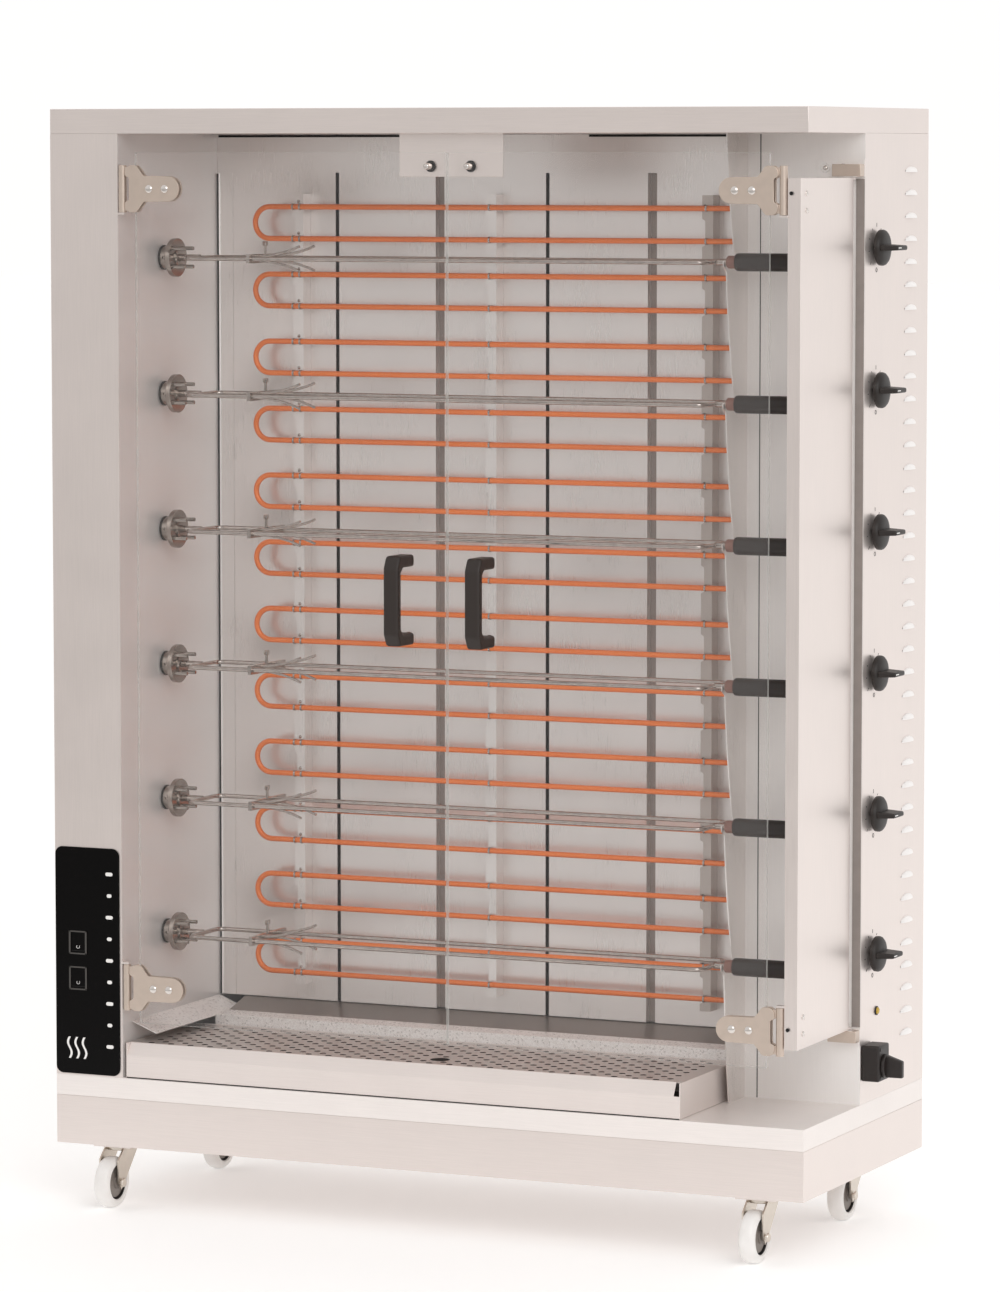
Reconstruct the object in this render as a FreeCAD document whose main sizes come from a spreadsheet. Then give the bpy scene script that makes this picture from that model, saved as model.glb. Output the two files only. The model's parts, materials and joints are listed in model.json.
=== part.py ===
"""Six-spit electric rotisserie oven on casters, driven by one sheet of sizes.

The cabinet is a motor column on the left, a wiring housing at the rear right, a hood and a
two-step base.  Six chucks in the column turn six two-rod spits, whose grips stick out past
a scalloped rest plate.  Two glass doors close the front: the left one hangs on the column,
the right one on a side flap that itself swings open so that the spit grips can be reached.

Millimetres.  +Z is up, the front faces -Y, and the origin is the middle of the footprint on
the floor.
"""
import FreeCAD
import Part
import math
import os
import re

import Sketcher
from FreeCAD import Placement, Rotation, Vector

doc = FreeCAD.newDocument("rotisserie_oven")

# ---------------------------------------------------------------- driving dimensions
SIZES = [
    ("overall_width", 1250, "cabinet, side to side"),
    ("overall_depth", 512, "cabinet, front to back"),
    ("skirt_height", 76, "lower step of the base"),
    ("deck_height", 33, "upper step of the base"),
    ("hood_height", 38, ""),
    ("head_room", 191.4, "top spit to the underside of the hood"),
    ("sheet_wall", 1.5, "sheet steel of the casing"),
    ("sheet_gap", 0.2, "between sheets that butt"),
    ("move_gap", 0.4, "between pieces that move past each other"),
    ("bore_gap", 0.05, "between a shaft and its bore, on the radius"),
    ("column_width", 117, "motor column"),
    ("housing_width", 187.5, "wiring housing, rest plate to the right side"),
    ("housing_setback", 236, "cabinet front to the housing's front face"),
    ("cavity_depth", 337, "cabinet front to the rear reflector"),
    ("cavity_rise", 87, "deck to the lower edge of the rear reflector"),
    ("joint_width", 6, "open joint between two reflector panels"),
    ("joint_left_inset", 211, "column to the left joint"),
    ("joint_right_inset", 373, "right joint to the rest plate"),
    ("rail_width", 18, "rail that the elements hang on"),
    ("rail_left_inset", 155, "column to the left rail"),
    ("rail_middle_inset", 457.5, "middle rail to the rest plate"),
    ("rail_right_inset", 95.5, "right rail to the rest plate"),
    ("rail_overrun", 45, "rail beyond the last element"),
    ("rail_slack", 0.3, "between an element and its rail"),
    ("spit_rise", 212.6, "deck to the lowest spit"),
    ("spit_pitch", 211.6, "from one spit to the next"),
    ("spit_setback", 149, "cabinet front to the spit axis"),
    ("chuck_shaft_radius", 8, "drive shaft of a chuck"),
    ("chuck_shaft_length", 30, "drive shaft inside the column"),
    ("sprocket_radius", 25, "chain sprocket on the drive shaft"),
    ("sprocket_width", 6, ""),
    ("sprocket_inset", 18, "sprocket face behind the column wall"),
    ("chain_thick", 4, ""),
    ("motor_length", 36, "gearbox along the shaft"),
    ("motor_half_width", 45, ""),
    ("motor_half_height", 40, ""),
    ("motor_barrel_radius", 32, ""),
    ("motor_barrel_drop", 150, "foot of the barrel below the shaft"),
    ("motor_barrel_offset", 10, "barrel behind the shaft"),
    ("chuck_hub_radius", 18.25, ""),
    ("chuck_hub_length", 18.5, "from the column wall to the back of the disc"),
    ("chuck_disc_radius", 30, ""),
    ("chuck_disc_width", 8, ""),
    ("chuck_pin_radius", 3, ""),
    ("chuck_pin_length", 20, ""),
    ("chuck_pin_circle", 20, "radius of the circle that the pins stand on"),
    ("spit_tip_radius", 5, "tip in the chuck socket, and journal on the rest plate"),
    ("spit_tip_depth", 5.5, "tip inside the socket"),
    ("spit_rod_radius", 3.5, ""),
    ("spit_half_width", 52, "spit axis to a rod"),
    ("spit_lead", 38.5, "chuck to the rod frame"),
    ("spit_tail", 15.5, "rod frame to the rest plate"),
    ("spit_corner", 14, "bend radius of the rod frame"),
    ("meat_fork_inset", 113, "left end of the rod frame to the meat fork"),
    ("meat_fork_thick", 6, "bar of the meat fork"),
    ("meat_fork_tall", 14, ""),
    ("meat_fork_overhang", 8, "bar beyond the rods"),
    ("prong_radius", 2, ""),
    ("prong_spread", 26, "spit axis to a prong"),
    ("prong_reach", 72, "length of a prong along the spit"),
    ("prong_root", 4, "prong above or below the axis where it leaves the bar"),
    ("prong_tip", 19, "and at its tip"),
    ("collar_gap", 2.5, "rest plate to the collar"),
    ("collar_length", 14, ""),
    ("collar_radius", 10, ""),
    ("grip_length", 116, ""),
    ("grip_radius", 13.5, ""),
    ("hook_slack", 0.5, "between a journal and its hook"),
    ("hook_lip", 4, "width of the hook in front of the journal"),
    ("scallop_swell", 2, "front edge behind the spit axis, below a hook"),
    ("scallop_waist", 34, "and above a hook"),
    ("element_radius", 4.25, "tubular heating element"),
    ("element_bend", 25, "bend radius, half the distance between the legs"),
    ("element_offset", 53, "element above and below its spit"),
    ("element_standoff", 31, "element in front of the reflector"),
    ("element_inset", 78, "column to the outside of the bend"),
    ("element_tail", 32.5, "cold ends inside the housing"),
    ("glass_thick", 6, ""),
    ("glass_rise", 88, "deck to the glass"),
    ("glass_drop", 29, "hood to the glass"),
    ("glass_left_inset", 30, "column to the left glass"),
    ("glass_right_inset", 60, "right side to the right glass"),
    ("doors_meet", 47, "middle of the gap between the glasses"),
    ("doors_gap", 2, ""),
    ("hinge_inset", 55, "end of the glass to the middle of a hinge"),
    ("hinge_height", 72, "knuckle and clamp body"),
    ("hinge_arm_height", 38.5, ""),
    ("hinge_plate", 3, ""),
    ("hinge_side_gap", 1.5, "knuckle to the sheet beside it"),
    ("hinge_web", 12, "solid part between the plates"),
    ("right_pivot_inset", 39, "right side to the axis of the right door"),
    ("hinge_pin_radius", 2.5, ""),
    ("hinge_pin_depth", 20, "pin inside the knuckle"),
    ("hinge_tab_half", 5, "pin tab beside the pin"),
    ("hinge_tab_thick", 3, ""),
    ("hinge_body_reach", 30, "pivot to the step of the clamp"),
    ("hinge_arm_reach", 100, "pivot to the end of the clamp"),
    ("handle_width", 25, ""),
    ("handle_rise", 695, "deck to the handle"),
    ("handle_length", 136, ""),
    ("handle_reach", 59, "glass to the front of the bar"),
    ("handle_bar", 13.5, "thickness of the bar"),
    ("handle_foot", 18, ""),
    ("handle_chamfer", 8, "inside corner of the bar"),
    ("handle_left_inset", 65.5, "meeting of the doors to the left handle"),
    ("handle_right_inset", 68.2, "and to the right one"),
    ("flap_side_inset", 11.2, "right side to the flap's outer face"),
    ("flap_rear_gap", 20, "flap to the housing"),
    ("flap_return", 14, "rear return and end plates"),
    ("flap_rise", 29, "lower end of the glass to the flap"),
    ("flap_drop", 37, "upper end of the glass to the flap"),
    ("flap_cap", 3, "end plates of the flap"),
    ("flap_pivot_inset", 5.8, "pivot inside the outer face"),
    ("flap_pivot_gap", 12, "pivot in front of the housing"),
    ("flap_pin_radius", 3, ""),
    ("flap_pin_length", 9, ""),
    ("flap_ear_radius", 6, ""),
    ("bracket_thick", 3, ""),
    ("bracket_width", 75, ""),
    ("bracket_height", 25, ""),
    ("knob_rise", 12.2, "lowest knob above the lowest spit"),
    ("knob_spread", 1.7, "knob pitch beyond the spit pitch"),
    ("knob_setback", 50, "housing front to the knobs"),
    ("knob_radius", 27, ""),
    ("knob_disc_width", 13, ""),
    ("knob_standoff", 5, ""),
    ("knob_grip_width", 10, ""),
    ("knob_grip_reach", 24, ""),
    ("knob_shaft_radius", 3, ""),
    ("knob_shaft_depth", 16, ""),
    ("louvre_rise", 83, "deck to the lowest louvre"),
    ("louvre_pitch", 34.8, ""),
    ("louvre_inset", 78, "middle of the louvres to the back"),
    ("louvre_length", 50, ""),
    ("louvre_height", 3, ""),
    ("louvre_margin", 40, "least distance of a louvre from the hood"),
    ("lamp_radius", 7, ""),
    ("lamp_setback", 68, "housing front to the lamp"),
    ("lamp_rise", 135, ""),
    ("lamp_depth_inside", 14, ""),
    ("lamp_reach", 5, ""),
    ("mains_setback", 25.5, "housing front to the main switch"),
    ("mains_rise", 63.5, ""),
    ("mains_width", 45, ""),
    ("mains_tall", 55, ""),
    ("mains_reach", 29, ""),
    ("mains_lever_radius", 18, ""),
    ("mains_lever_reach", 30, ""),
    ("mains_lever_drop", 5, "lever below the middle of the block"),
    ("mains_dial", 5, "disc under the blade"),
    ("mains_blade", 12, ""),
    ("panel_margin", 5, "column beside the panel, both sides together"),
    ("panel_edge", 1, "column to the left of the panel"),
    ("panel_rise", 2, "deck to the panel"),
    ("panel_height", 356, ""),
    ("panel_thick", 2, ""),
    ("panel_corner", 12, ""),
    ("bezel_width", 31.5, "frame of a rocker"),
    ("bezel_height", 37, ""),
    ("bezel_thick", 1.5, "bezel in front of the panel"),
    ("rocker_inset", 40.7, "left side to the rockers"),
    ("rocker_upper_rise", 208.5, "deck to the upper rocker"),
    ("rocker_lower_rise", 152.5, "and to the lower one"),
    ("rocker_width", 24, ""),
    ("rocker_radius", 15, "round ends about the rocker's pivot"),
    ("rocker_window_gap", 0.5, "rocker to its window"),
    ("rocker_pivot_inset", 4, "pivot behind the cabinet front"),
    ("rocker_proud", 7, "rocker's face in front of its pivot"),
    ("rocker_thick", 16, ""),
    ("tray_side_gap", 4, "column to the tray"),
    ("tray_plate_gap", 10.9, "tray to the rest plate's right face"),
    ("tray_setback", 4, "cabinet front to the tray"),
    ("tray_rear_gap", 108, "tray to the rear reflector"),
    ("tray_fold_rise", 35, "where the front lip starts to lean back"),
    ("tray_rise", 55, "deck to the top of the tray"),
    ("tray_lip_lean", 12, "how far the front lip leans back"),
    ("tray_lip_short", 10.6, "right end of the lip to the tray's side"),
    ("insert_drop", 1, "tray top to the insert"),
    ("insert_sheet", 1.2, ""),
    ("insert_side_gap", 0.5, ""),
    ("insert_front_gap", 0.8, ""),
    ("insert_rear_gap", 0.6, ""),
    ("hole_radius", 5, "drain holes"),
    ("hole_pitch", 34, ""),
    ("hole_row", 15.5, ""),
    ("hole_margin", 30, "first column of holes from the insert's end"),
    ("lift_hole_radius", 15, ""),
    ("lift_hole_place", 6, ""),
    ("lift_hole_inset", 60, "tray front to the finger hole"),
    ("deflector_slope", 17, "fall of the left deflector, and of the rear one"),
    ("deflector_width", 42.7, "left deflector"),
    ("deflector_reach", 300, "front to back"),
    ("deflector_setback", 31, "cabinet front to the left deflector"),
    ("ledge_rise", 16, "tray top to the rear ledge"),
    ("ledge_depth", 48, ""),
    ("apron_gap", 2, "tray to the apron"),
    ("caster_side_inset", 85, "kingpins from the cabinet's side"),
    ("caster_front_inset", 53, ""),
    ("caster_rear_inset", 91, ""),
    ("caster_trail", 32, ""),
    ("caster_plate", 64, ""),
    ("caster_plate_thick", 6, ""),
    ("caster_head_room", 20, "wheel to the underside of the base"),
    ("kingpin_radius", 5, ""),
    ("fork_sheet", 3, ""),
    ("fork_crown_radius", 23, ""),
    ("fork_crown_height", 6, ""),
    ("fork_clearance", 1.5, "wheel to a cheek"),
    ("wheel_radius", 40, ""),
    ("wheel_width", 26, ""),
    ("wheel_rounding", 4, ""),
    ("axle_radius", 4, ""),
    ("catch_left_inset", 37, "meeting of the doors to the left plunger"),
    ("catch_right_inset", 29, "and to the right one"),
    ("catch_drop", 49.3, "hood to the plungers"),
    ("catch_setback", 26, "cabinet front to the catch plate"),
    ("catch_plate_side", 52.5, "plunger to the end of the catch plate"),
    ("catch_plate_drop", 65, ""),
    ("catch_pin_radius", 5, ""),
    ("catch_pin_length", 34, ""),
    ("catch_bush_radius", 8, ""),
    ("catch_bush_length", 32, ""),
    ("cut_over", 1, "how far cutters, and the hidden ends of joined pieces, run past a face"),
    ("axle_end_length", 2.5, "axle beyond the fork"),
    ("rocker_tilt", 8, "degrees"),
    ("element_hole_gap", 0.5, "round each element leg in the rest plate"),
    ("panel_lap", 1, "deflectors below the panels' foot"),
    ("lamp_rim", 1, "lens over the edge of its hole"),
    ("bracket_ear_half", 10, ""),
    ("bracket_ear_reach", 7, "from the pivot to the ear's front edge"),
    ("bracket_gap", 1, "bracket to flap"),
    ("flap_pin_over", 2, "pin beyond the flap's end plate"),
    ("catch_bush_proud", 1, "bush in front of the catch plate"),
    ("flap_neck_lap", 5, "end plate's neck into the plate"),
]
# Places that follow from the sizes: each is a sum, in which a word may have a factor.
PLACES = {
    "base_bottom": "wheel_radius*2 + caster_head_room",
    "base_step": "base_bottom + skirt_height",
    "deck_top": "base_step + deck_height",
    "spit_lowest": "deck_top + spit_rise",
    "hood_bottom": "spit_lowest + spit_pitch*5 + head_room",
    "hood_top": "hood_bottom + hood_height",
    "column_face": "column_width - overall_width*0.5",
    "rest_plate_right": "overall_width*0.5 - housing_width",
    "rest_plate_left": "rest_plate_right - sheet_wall",
    "housing_front": "housing_setback - overall_depth*0.5",
    "cavity_back": "cavity_depth - overall_depth*0.5",
    "cavity_floor": "deck_top + cavity_rise",
    "spit_axis": "spit_setback - overall_depth*0.5",
    "spit_left": "column_face + chuck_hub_length + chuck_disc_width + spit_lead",
    "spit_right": "rest_plate_right - spit_tail",
    "meat_fork_place": "spit_left + meat_fork_inset",
    "collar_left": "rest_plate_right + collar_gap",
    "grip_left": "collar_left + collar_length",
    "grip_right": "grip_left + grip_length",
    "element_plane": "cavity_back - element_standoff",
    "element_left": "column_face + element_inset",
    "element_right": "rest_plate_right + element_tail",
    "rail_front": "element_plane + element_radius + rail_slack",
    "glass_rear": "glass_thick - overall_depth*0.5",
    "glass_bottom": "deck_top + glass_rise",
    "glass_top": "hood_bottom - glass_drop",
    "glass_left": "column_face + glass_left_inset",
    "glass_right": "overall_width*0.5 - glass_right_inset",
    "hinge_middle": "glass_thick*0.5 - overall_depth*0.5",
    "hinge_radius": "glass_thick*0.5 + hinge_plate",
    "hinge_upper": "glass_top - hinge_inset",
    "hinge_lower": "glass_bottom + hinge_inset",
    "left_pivot": "column_face + hinge_radius + hinge_side_gap",
    "flap_right": "overall_width*0.5 - flap_side_inset",
    "right_pivot": "overall_width*0.5 - right_pivot_inset",
    "flap_front_left": "right_pivot + hinge_radius + hinge_side_gap",
    "flap_rear": "housing_front - flap_rear_gap",
    "flap_bottom": "glass_bottom + flap_rise",
    "flap_top": "glass_top - flap_drop",
    "flap_pivot_side": "flap_right - flap_pivot_inset",
    "flap_pivot_depth": "housing_front - flap_pivot_gap",
    "handle_bottom": "deck_top + handle_rise",
    "handle_top": "handle_bottom + handle_length",
    "handle_left_place": "doors_meet - handle_left_inset",
    "handle_right_place": "doors_meet + handle_right_inset",
    "knob_lowest": "spit_lowest + knob_rise",
    "knob_pitch": "spit_pitch + knob_spread",
    "knob_depth": "housing_front + knob_setback",
    "louvre_lowest": "deck_top + louvre_rise",
    "louvre_depth": "overall_depth*0.5 - louvre_inset",
    "lamp_depth": "housing_front + lamp_setback",
    "lamp_height": "deck_top + lamp_rise",
    "mains_depth": "housing_front + mains_setback",
    "mains_height": "deck_top + mains_rise",
    "panel_width": "column_width - panel_margin",
    "rocker_place": "rocker_inset - overall_width*0.5",
    "rocker_upper_height": "deck_top + rocker_upper_rise",
    "rocker_lower_height": "deck_top + rocker_lower_rise",
    "tray_left": "column_face + tray_side_gap",
    "tray_right": "rest_plate_right - tray_plate_gap",
    "tray_front": "tray_setback - overall_depth*0.5",
    "tray_rear": "cavity_back - tray_rear_gap",
    "tray_low": "deck_top + move_gap",
    "tray_fold": "deck_top + tray_fold_rise",
    "tray_top": "deck_top + tray_rise",
    "tray_lip_rear": "tray_front + tray_lip_lean",
    "tray_lip_right": "tray_right - tray_lip_short",
    "insert_top": "tray_top - insert_drop",
    "lift_hole_depth": "tray_front + lift_hole_inset",
    "caster_side": "overall_width*0.5 - caster_side_inset",
    "caster_front": "caster_front_inset - overall_depth*0.5",
    "caster_rear": "overall_depth*0.5 - caster_rear_inset",
    "caster_plate_low": "base_bottom - caster_plate_thick",
    "catch_left_place": "doors_meet - catch_left_inset",
    "catch_right_place": "doors_meet + catch_right_inset",
    "catch_height": "hood_bottom - catch_drop",
    "catch_plate_front": "catch_setback - overall_depth*0.5",
    "catch_plate_left": "catch_left_place - catch_plate_side",
    "catch_plate_right": "catch_right_place + catch_plate_side",
    "catch_plate_bottom": "hood_bottom - catch_plate_drop",
}
SPITS = range(1, 7)

sheet = doc.addObject("Spreadsheet::Sheet", "sizes")
for row, (alias, value, note) in enumerate(SIZES, start=1):
    sheet.set(f"A{row}", note or alias.replace("_", " "))
    sheet.set(f"B{row}", str(value))
    sheet.setAlias(f"B{row}", alias)
doc.recompute()

parts = {}


def size(word):
    """Value of a size in the sheet, of a place, or of either times a factor."""
    name, _, factor = word.partition("*")
    if name in PLACES:
        words = PLACES[name].split()
        signs = [1] + [1 if mark == "+" else -1 for mark in words[1::2]]
        value = sum(sign * size(item) for sign, item in zip(signs, words[::2]))
    else:
        value = float(getattr(sheet, name))
    return value * float(factor or 1)


def spelled(text):
    """Every word with an underscore becomes its cell in the sheet, or the sum that its place is."""
    def cell(word):
        name = word.group()
        return f"({spelled(PLACES[name])})" if name in PLACES else "sizes." + name
    return re.sub(r"[a-z]+(_[a-z]+)+", cell, str(text))


def bind(item, prop, text):
    """Tie a property to the sheet."""
    item.setExpression(prop, spelled(text))


def place(item, x, y, z):
    for axis, text in zip("xyz", (x, y, z)):
        bind(item, f".Placement.Base.{axis}", text)
    return item


def keep(label, item):
    item.Label = label
    parts[label] = item
    return item


# ---------------------------------------------------------------- primitives and booleans
TURN = {"x": Rotation(Vector(0, 1, 0), 90), "y": Rotation(Vector(1, 0, 0), -90), "z": Rotation()}


def box(span_x, span_y, span_z):
    """A block between three pairs of low and high faces."""
    block = doc.addObject("Part::Box", "block")
    for prop, axis, (low, high) in zip(("Length", "Width", "Height"), "xyz", (span_x, span_y, span_z)):
        bind(block, prop, f"({high}) - ({low})")
        bind(block, f".Placement.Base.{axis}", low)
    return block


def rod(axis, radius, start, length):
    """A cylinder along an axis from the middle of its first face."""
    cylinder = doc.addObject("Part::Cylinder", "cylinder")
    cylinder.Placement = Placement(Vector(), TURN[axis])
    bind(cylinder, "Radius", radius)
    bind(cylinder, "Height", length)
    return place(cylinder, *start)


def fuse(*pieces):
    union = doc.addObject("Part::MultiFuse", "union")
    union.Shapes = list(pieces)
    return union


def group(*pieces):
    gathered = doc.addObject("Part::Compound", "gathered")
    gathered.Links = list(pieces)
    return gathered


def cut(base, *tools):
    difference = doc.addObject("Part::Cut", "difference")
    difference.Base = base
    difference.Tool = tools[0] if len(tools) == 1 else group(*tools)
    return difference


def common(first, second):
    overlap = doc.addObject("Part::Common", "overlap")
    overlap.Base = first
    overlap.Tool = second
    return overlap


def drawn(shape):
    feature = doc.addObject("Part::Feature", "drawn")
    feature.Shape = shape
    return feature


def prism(plane, points, start, thick, holes=()):
    """A plate with a drawn outline.  holes are (first, second, radius) in the same plane."""
    spot = {"xy": lambda a, b: Vector(a, b, start),
            "xz": lambda a, b: Vector(a, start, b),
            "yz": lambda a, b: Vector(start, a, b)}[plane]
    normal = {"xy": Vector(0, 0, 1), "xz": Vector(0, 1, 0), "yz": Vector(1, 0, 0)}[plane]
    outline = Part.makePolygon([spot(*point) for point in points + points[:1]])
    wires = [outline] + [Part.Wire(Part.makeCircle(r, spot(a, b), normal)) for a, b, r in holes]
    return drawn(Part.makeFace(wires, "Part::FaceMakerBullseye").extrude(normal * thick))


# ---------------------------------------------------------------- sketched bodies
def new_body(label):
    body = doc.addObject("PartDesign::Body", label)
    return keep(label, body)


def new_sketch(body, role, offset="0"):
    plane = next(feature for feature in body.Origin.OriginFeatures if feature.Role == role)
    sketch = body.newObject("Sketcher::SketchObject", "sketch")
    sketch.AttachmentSupport = [(plane, "")]
    sketch.MapMode = "FlatFace"
    bind(sketch, ".AttachmentOffset.Base.z", offset)
    return sketch


def dimension(sketch, kind, geometry, point, text, start):
    index = sketch.addConstraint(Sketcher.Constraint(kind, -1, 1, geometry, point, start))
    bind(sketch, f"Constraints[{index}]", text)


def circle(sketch, radius, across="0", up="0"):
    index = sketch.addGeometry(Part.Circle(Vector(1, 1, 0), Vector(0, 0, 1), 5))
    bind(sketch, f"Constraints[{sketch.addConstraint(Sketcher.Constraint('Radius', index, 5.0))}]", radius)
    if (across, up) == ("0", "0"):
        sketch.addConstraint(Sketcher.Constraint("Coincident", -1, 1, index, 3))
    else:
        dimension(sketch, "DistanceX", index, 3, across, 1.0)
        dimension(sketch, "DistanceY", index, 3, up, 1.0)


def rectangle(sketch, left, right, low, high):
    first = sketch.GeometryCount
    corners = [Vector(-5, -5, 0), Vector(5, -5, 0), Vector(5, 5, 0), Vector(-5, 5, 0)]
    for step in range(4):
        sketch.addGeometry(Part.LineSegment(corners[step], corners[(step + 1) % 4]))
    for step in range(4):
        sketch.addConstraint(Sketcher.Constraint("Coincident", first + step, 2, first + (step + 1) % 4, 1))
        kind = "Horizontal" if step % 2 == 0 else "Vertical"
        sketch.addConstraint(Sketcher.Constraint(kind, first + step))
    dimension(sketch, "DistanceX", first, 1, left, -5.0)
    dimension(sketch, "DistanceY", first, 1, low, -5.0)
    dimension(sketch, "DistanceX", first + 2, 1, right, 5.0)
    dimension(sketch, "DistanceY", first + 2, 1, high, 5.0)


def pad(body, sketch, length):
    feature = body.newObject("PartDesign::Pad", "pad")
    feature.Profile = sketch
    bind(feature, "Length", length)
    return feature


def pocket_through(body, sketch):
    feature = body.newObject("PartDesign::Pocket", "pocket")
    feature.Profile = sketch
    feature.Type = "ThroughAll"
    feature.Midplane = True
    return feature


def spit_height(number):
    return f"spit_lowest + {number - 1} * spit_pitch"


HALF_WIDTH = "overall_width / 2"
HALF_DEPTH = "overall_depth / 2"
GLASS_FRONT = "(-overall_depth / 2)"

# ---------------------------------------------------------------- base
# The skirt is a pan open at the top, and the deck is a pan turned over on it.
SKIRT_OUTER = box(("-" + HALF_WIDTH, HALF_WIDTH), ("-" + HALF_DEPTH, HALF_DEPTH),
                  ("base_bottom", "base_step"))
SKIRT_INNER = box((f"sheet_wall - {HALF_WIDTH}", f"{HALF_WIDTH} - sheet_wall"),
                  (f"sheet_wall - {HALF_DEPTH}", f"{HALF_DEPTH} - sheet_wall"),
                  ("base_bottom + sheet_wall", "base_step + cut_over"))
CASTERS = [("front_left", "-caster_side", "caster_front"), ("front_right", "caster_side", "caster_front"),
           ("rear_left", "-caster_side", "caster_rear"), ("rear_right", "caster_side", "caster_rear")]


def caster_plate(across, deep):
    """Square plate under the base with the kingpin's bore."""
    plate = box((f"{across} - caster_plate / 2", f"{across} + caster_plate / 2"),
                (f"{deep} - caster_plate / 2", f"{deep} + caster_plate / 2"),
                ("caster_plate_low", "base_bottom"))
    return cut(plate, rod("z", "kingpin_radius + bore_gap", (across, deep, "caster_plate_low - cut_over"),
                          "caster_plate_thick + cut_over"))


keep("base_skirt", group(cut(SKIRT_OUTER, SKIRT_INNER),
                         *[caster_plate(across, deep) for corner, across, deep in CASTERS]))
keep("base_deck", cut(
    box(("-" + HALF_WIDTH, HALF_WIDTH), ("-" + HALF_DEPTH, HALF_DEPTH), ("base_step", "deck_top")),
    box((f"sheet_wall - {HALF_WIDTH}", f"{HALF_WIDTH} - sheet_wall"),
        (f"sheet_wall - {HALF_DEPTH}", f"{HALF_DEPTH} - sheet_wall"),
        ("base_step - cut_over", "deck_top - sheet_wall"))))

# ---------------------------------------------------------------- casters
# Shape of a fork's cheek: wall round the axle, and where its outline turns.
BOSS_WALL, BOSS_RISE, CHEEK_INSET, SHOULDER, THROAT = 5, 4, 2, 8, 18
for corner, across, deep in CASTERS:
    side = size("caster_side") * (-1 if "left" in corner else 1)
    kingpin_depth = size("caster_" + corner.split("_")[0])
    axle_depth, axle_height = kingpin_depth - size("caster_trail"), size("wheel_radius")
    top, crown = size("caster_plate_low") - size("move_gap"), size("fork_crown_radius")
    half_gap = size("wheel_width") / 2 + size("fork_clearance")
    boss = size("axle_radius") + BOSS_WALL
    cheek = [(axle_depth - boss, axle_height + BOSS_RISE), (axle_depth, axle_height - boss - CHEEK_INSET),
             (axle_depth + boss, axle_height - BOSS_RISE), (kingpin_depth + crown - CHEEK_INSET, top - SHOULDER),
             (kingpin_depth + crown - CHEEK_INSET, top), (kingpin_depth - crown + CHEEK_INSET, top),
             (axle_depth - boss, top - THROAT)]
    cheeks = [prism("yz", cheek, side + start, size("fork_sheet"))
              for start in (-half_gap - size("fork_sheet"), half_gap)]
    crown_disc = rod("z", "fork_crown_radius",
                     (across, deep, "caster_plate_low - move_gap - fork_crown_height"), "fork_crown_height")
    kingpin = rod("z", "kingpin_radius", (across, deep, "caster_plate_low - move_gap - cut_over"),
                  "caster_plate_thick")
    axle_end = "wheel_width / 2 + fork_clearance + fork_sheet + axle_end_length"
    axle = rod("x", "axle_radius", (f"{across} - ({axle_end})", f"{deep} - caster_trail", "wheel_radius"),
               f"2 * ({axle_end})")
    keep(f"caster_fork_{corner}", fuse(crown_disc, kingpin, axle, *cheeks))

    wheel = new_body(f"caster_wheel_{corner}")
    tread = new_sketch(wheel, "YZ_Plane", "-wheel_width / 2")
    circle(tread, "wheel_radius")
    circle(tread, "axle_radius + bore_gap")
    rim = pad(wheel, tread, "wheel_width")
    doc.recompute()
    rounding = wheel.newObject("PartDesign::Fillet", "rounding")
    rounding.Base = (rim, [f"Edge{index}" for index, edge in enumerate(rim.Shape.Edges, start=1)
                           if hasattr(edge.Curve, "Radius") and edge.Curve.Radius > size("axle_radius") + 1
                           and edge.Closed])
    bind(rounding, "Radius", "wheel_rounding")
    place(wheel, across, f"{deep} - caster_trail", "wheel_radius")

# ---------------------------------------------------------------- motor column
DECK_TO_HOOD = ("deck_top", "hood_bottom")
column_shell = cut(
    box(("-" + HALF_WIDTH, "column_face"), ("-" + HALF_DEPTH, HALF_DEPTH), DECK_TO_HOOD),
    box((f"sheet_wall - {HALF_WIDTH}", "column_face - sheet_wall"),
        (f"sheet_wall - {HALF_DEPTH}", f"{HALF_DEPTH} - sheet_wall"),
        ("deck_top - cut_over", "hood_bottom + cut_over")))
shaft_bores = [rod("x", "chuck_shaft_radius + bore_gap",
                   ("column_face - sheet_wall - cut_over", "spit_axis", spit_height(number)),
                   "sheet_wall + 2 * cut_over")
               for number in SPITS]
ROCKERS = {"rocker_upper": "rocker_upper_height", "rocker_lower": "rocker_lower_height"}
rocker_holes = [box(("rocker_place - rocker_width / 2 - 1", "rocker_place + rocker_width / 2 + 1"),
                    (f"-{HALF_DEPTH} - cut_over", f"sheet_wall - {HALF_DEPTH} + cut_over"),
                    (f"{height} - rocker_radius - cut_over", f"{height} + rocker_radius + cut_over"))
                for height in ROCKERS.values()]
# Inner ends of the knuckles, where the pin tabs stand: below the upper one, above the lower one.
KNUCKLE_ENDS = {"upper": ("hinge_upper - hinge_height / 2", -1),
                "lower": ("hinge_lower + hinge_height / 2", 1)}


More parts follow.
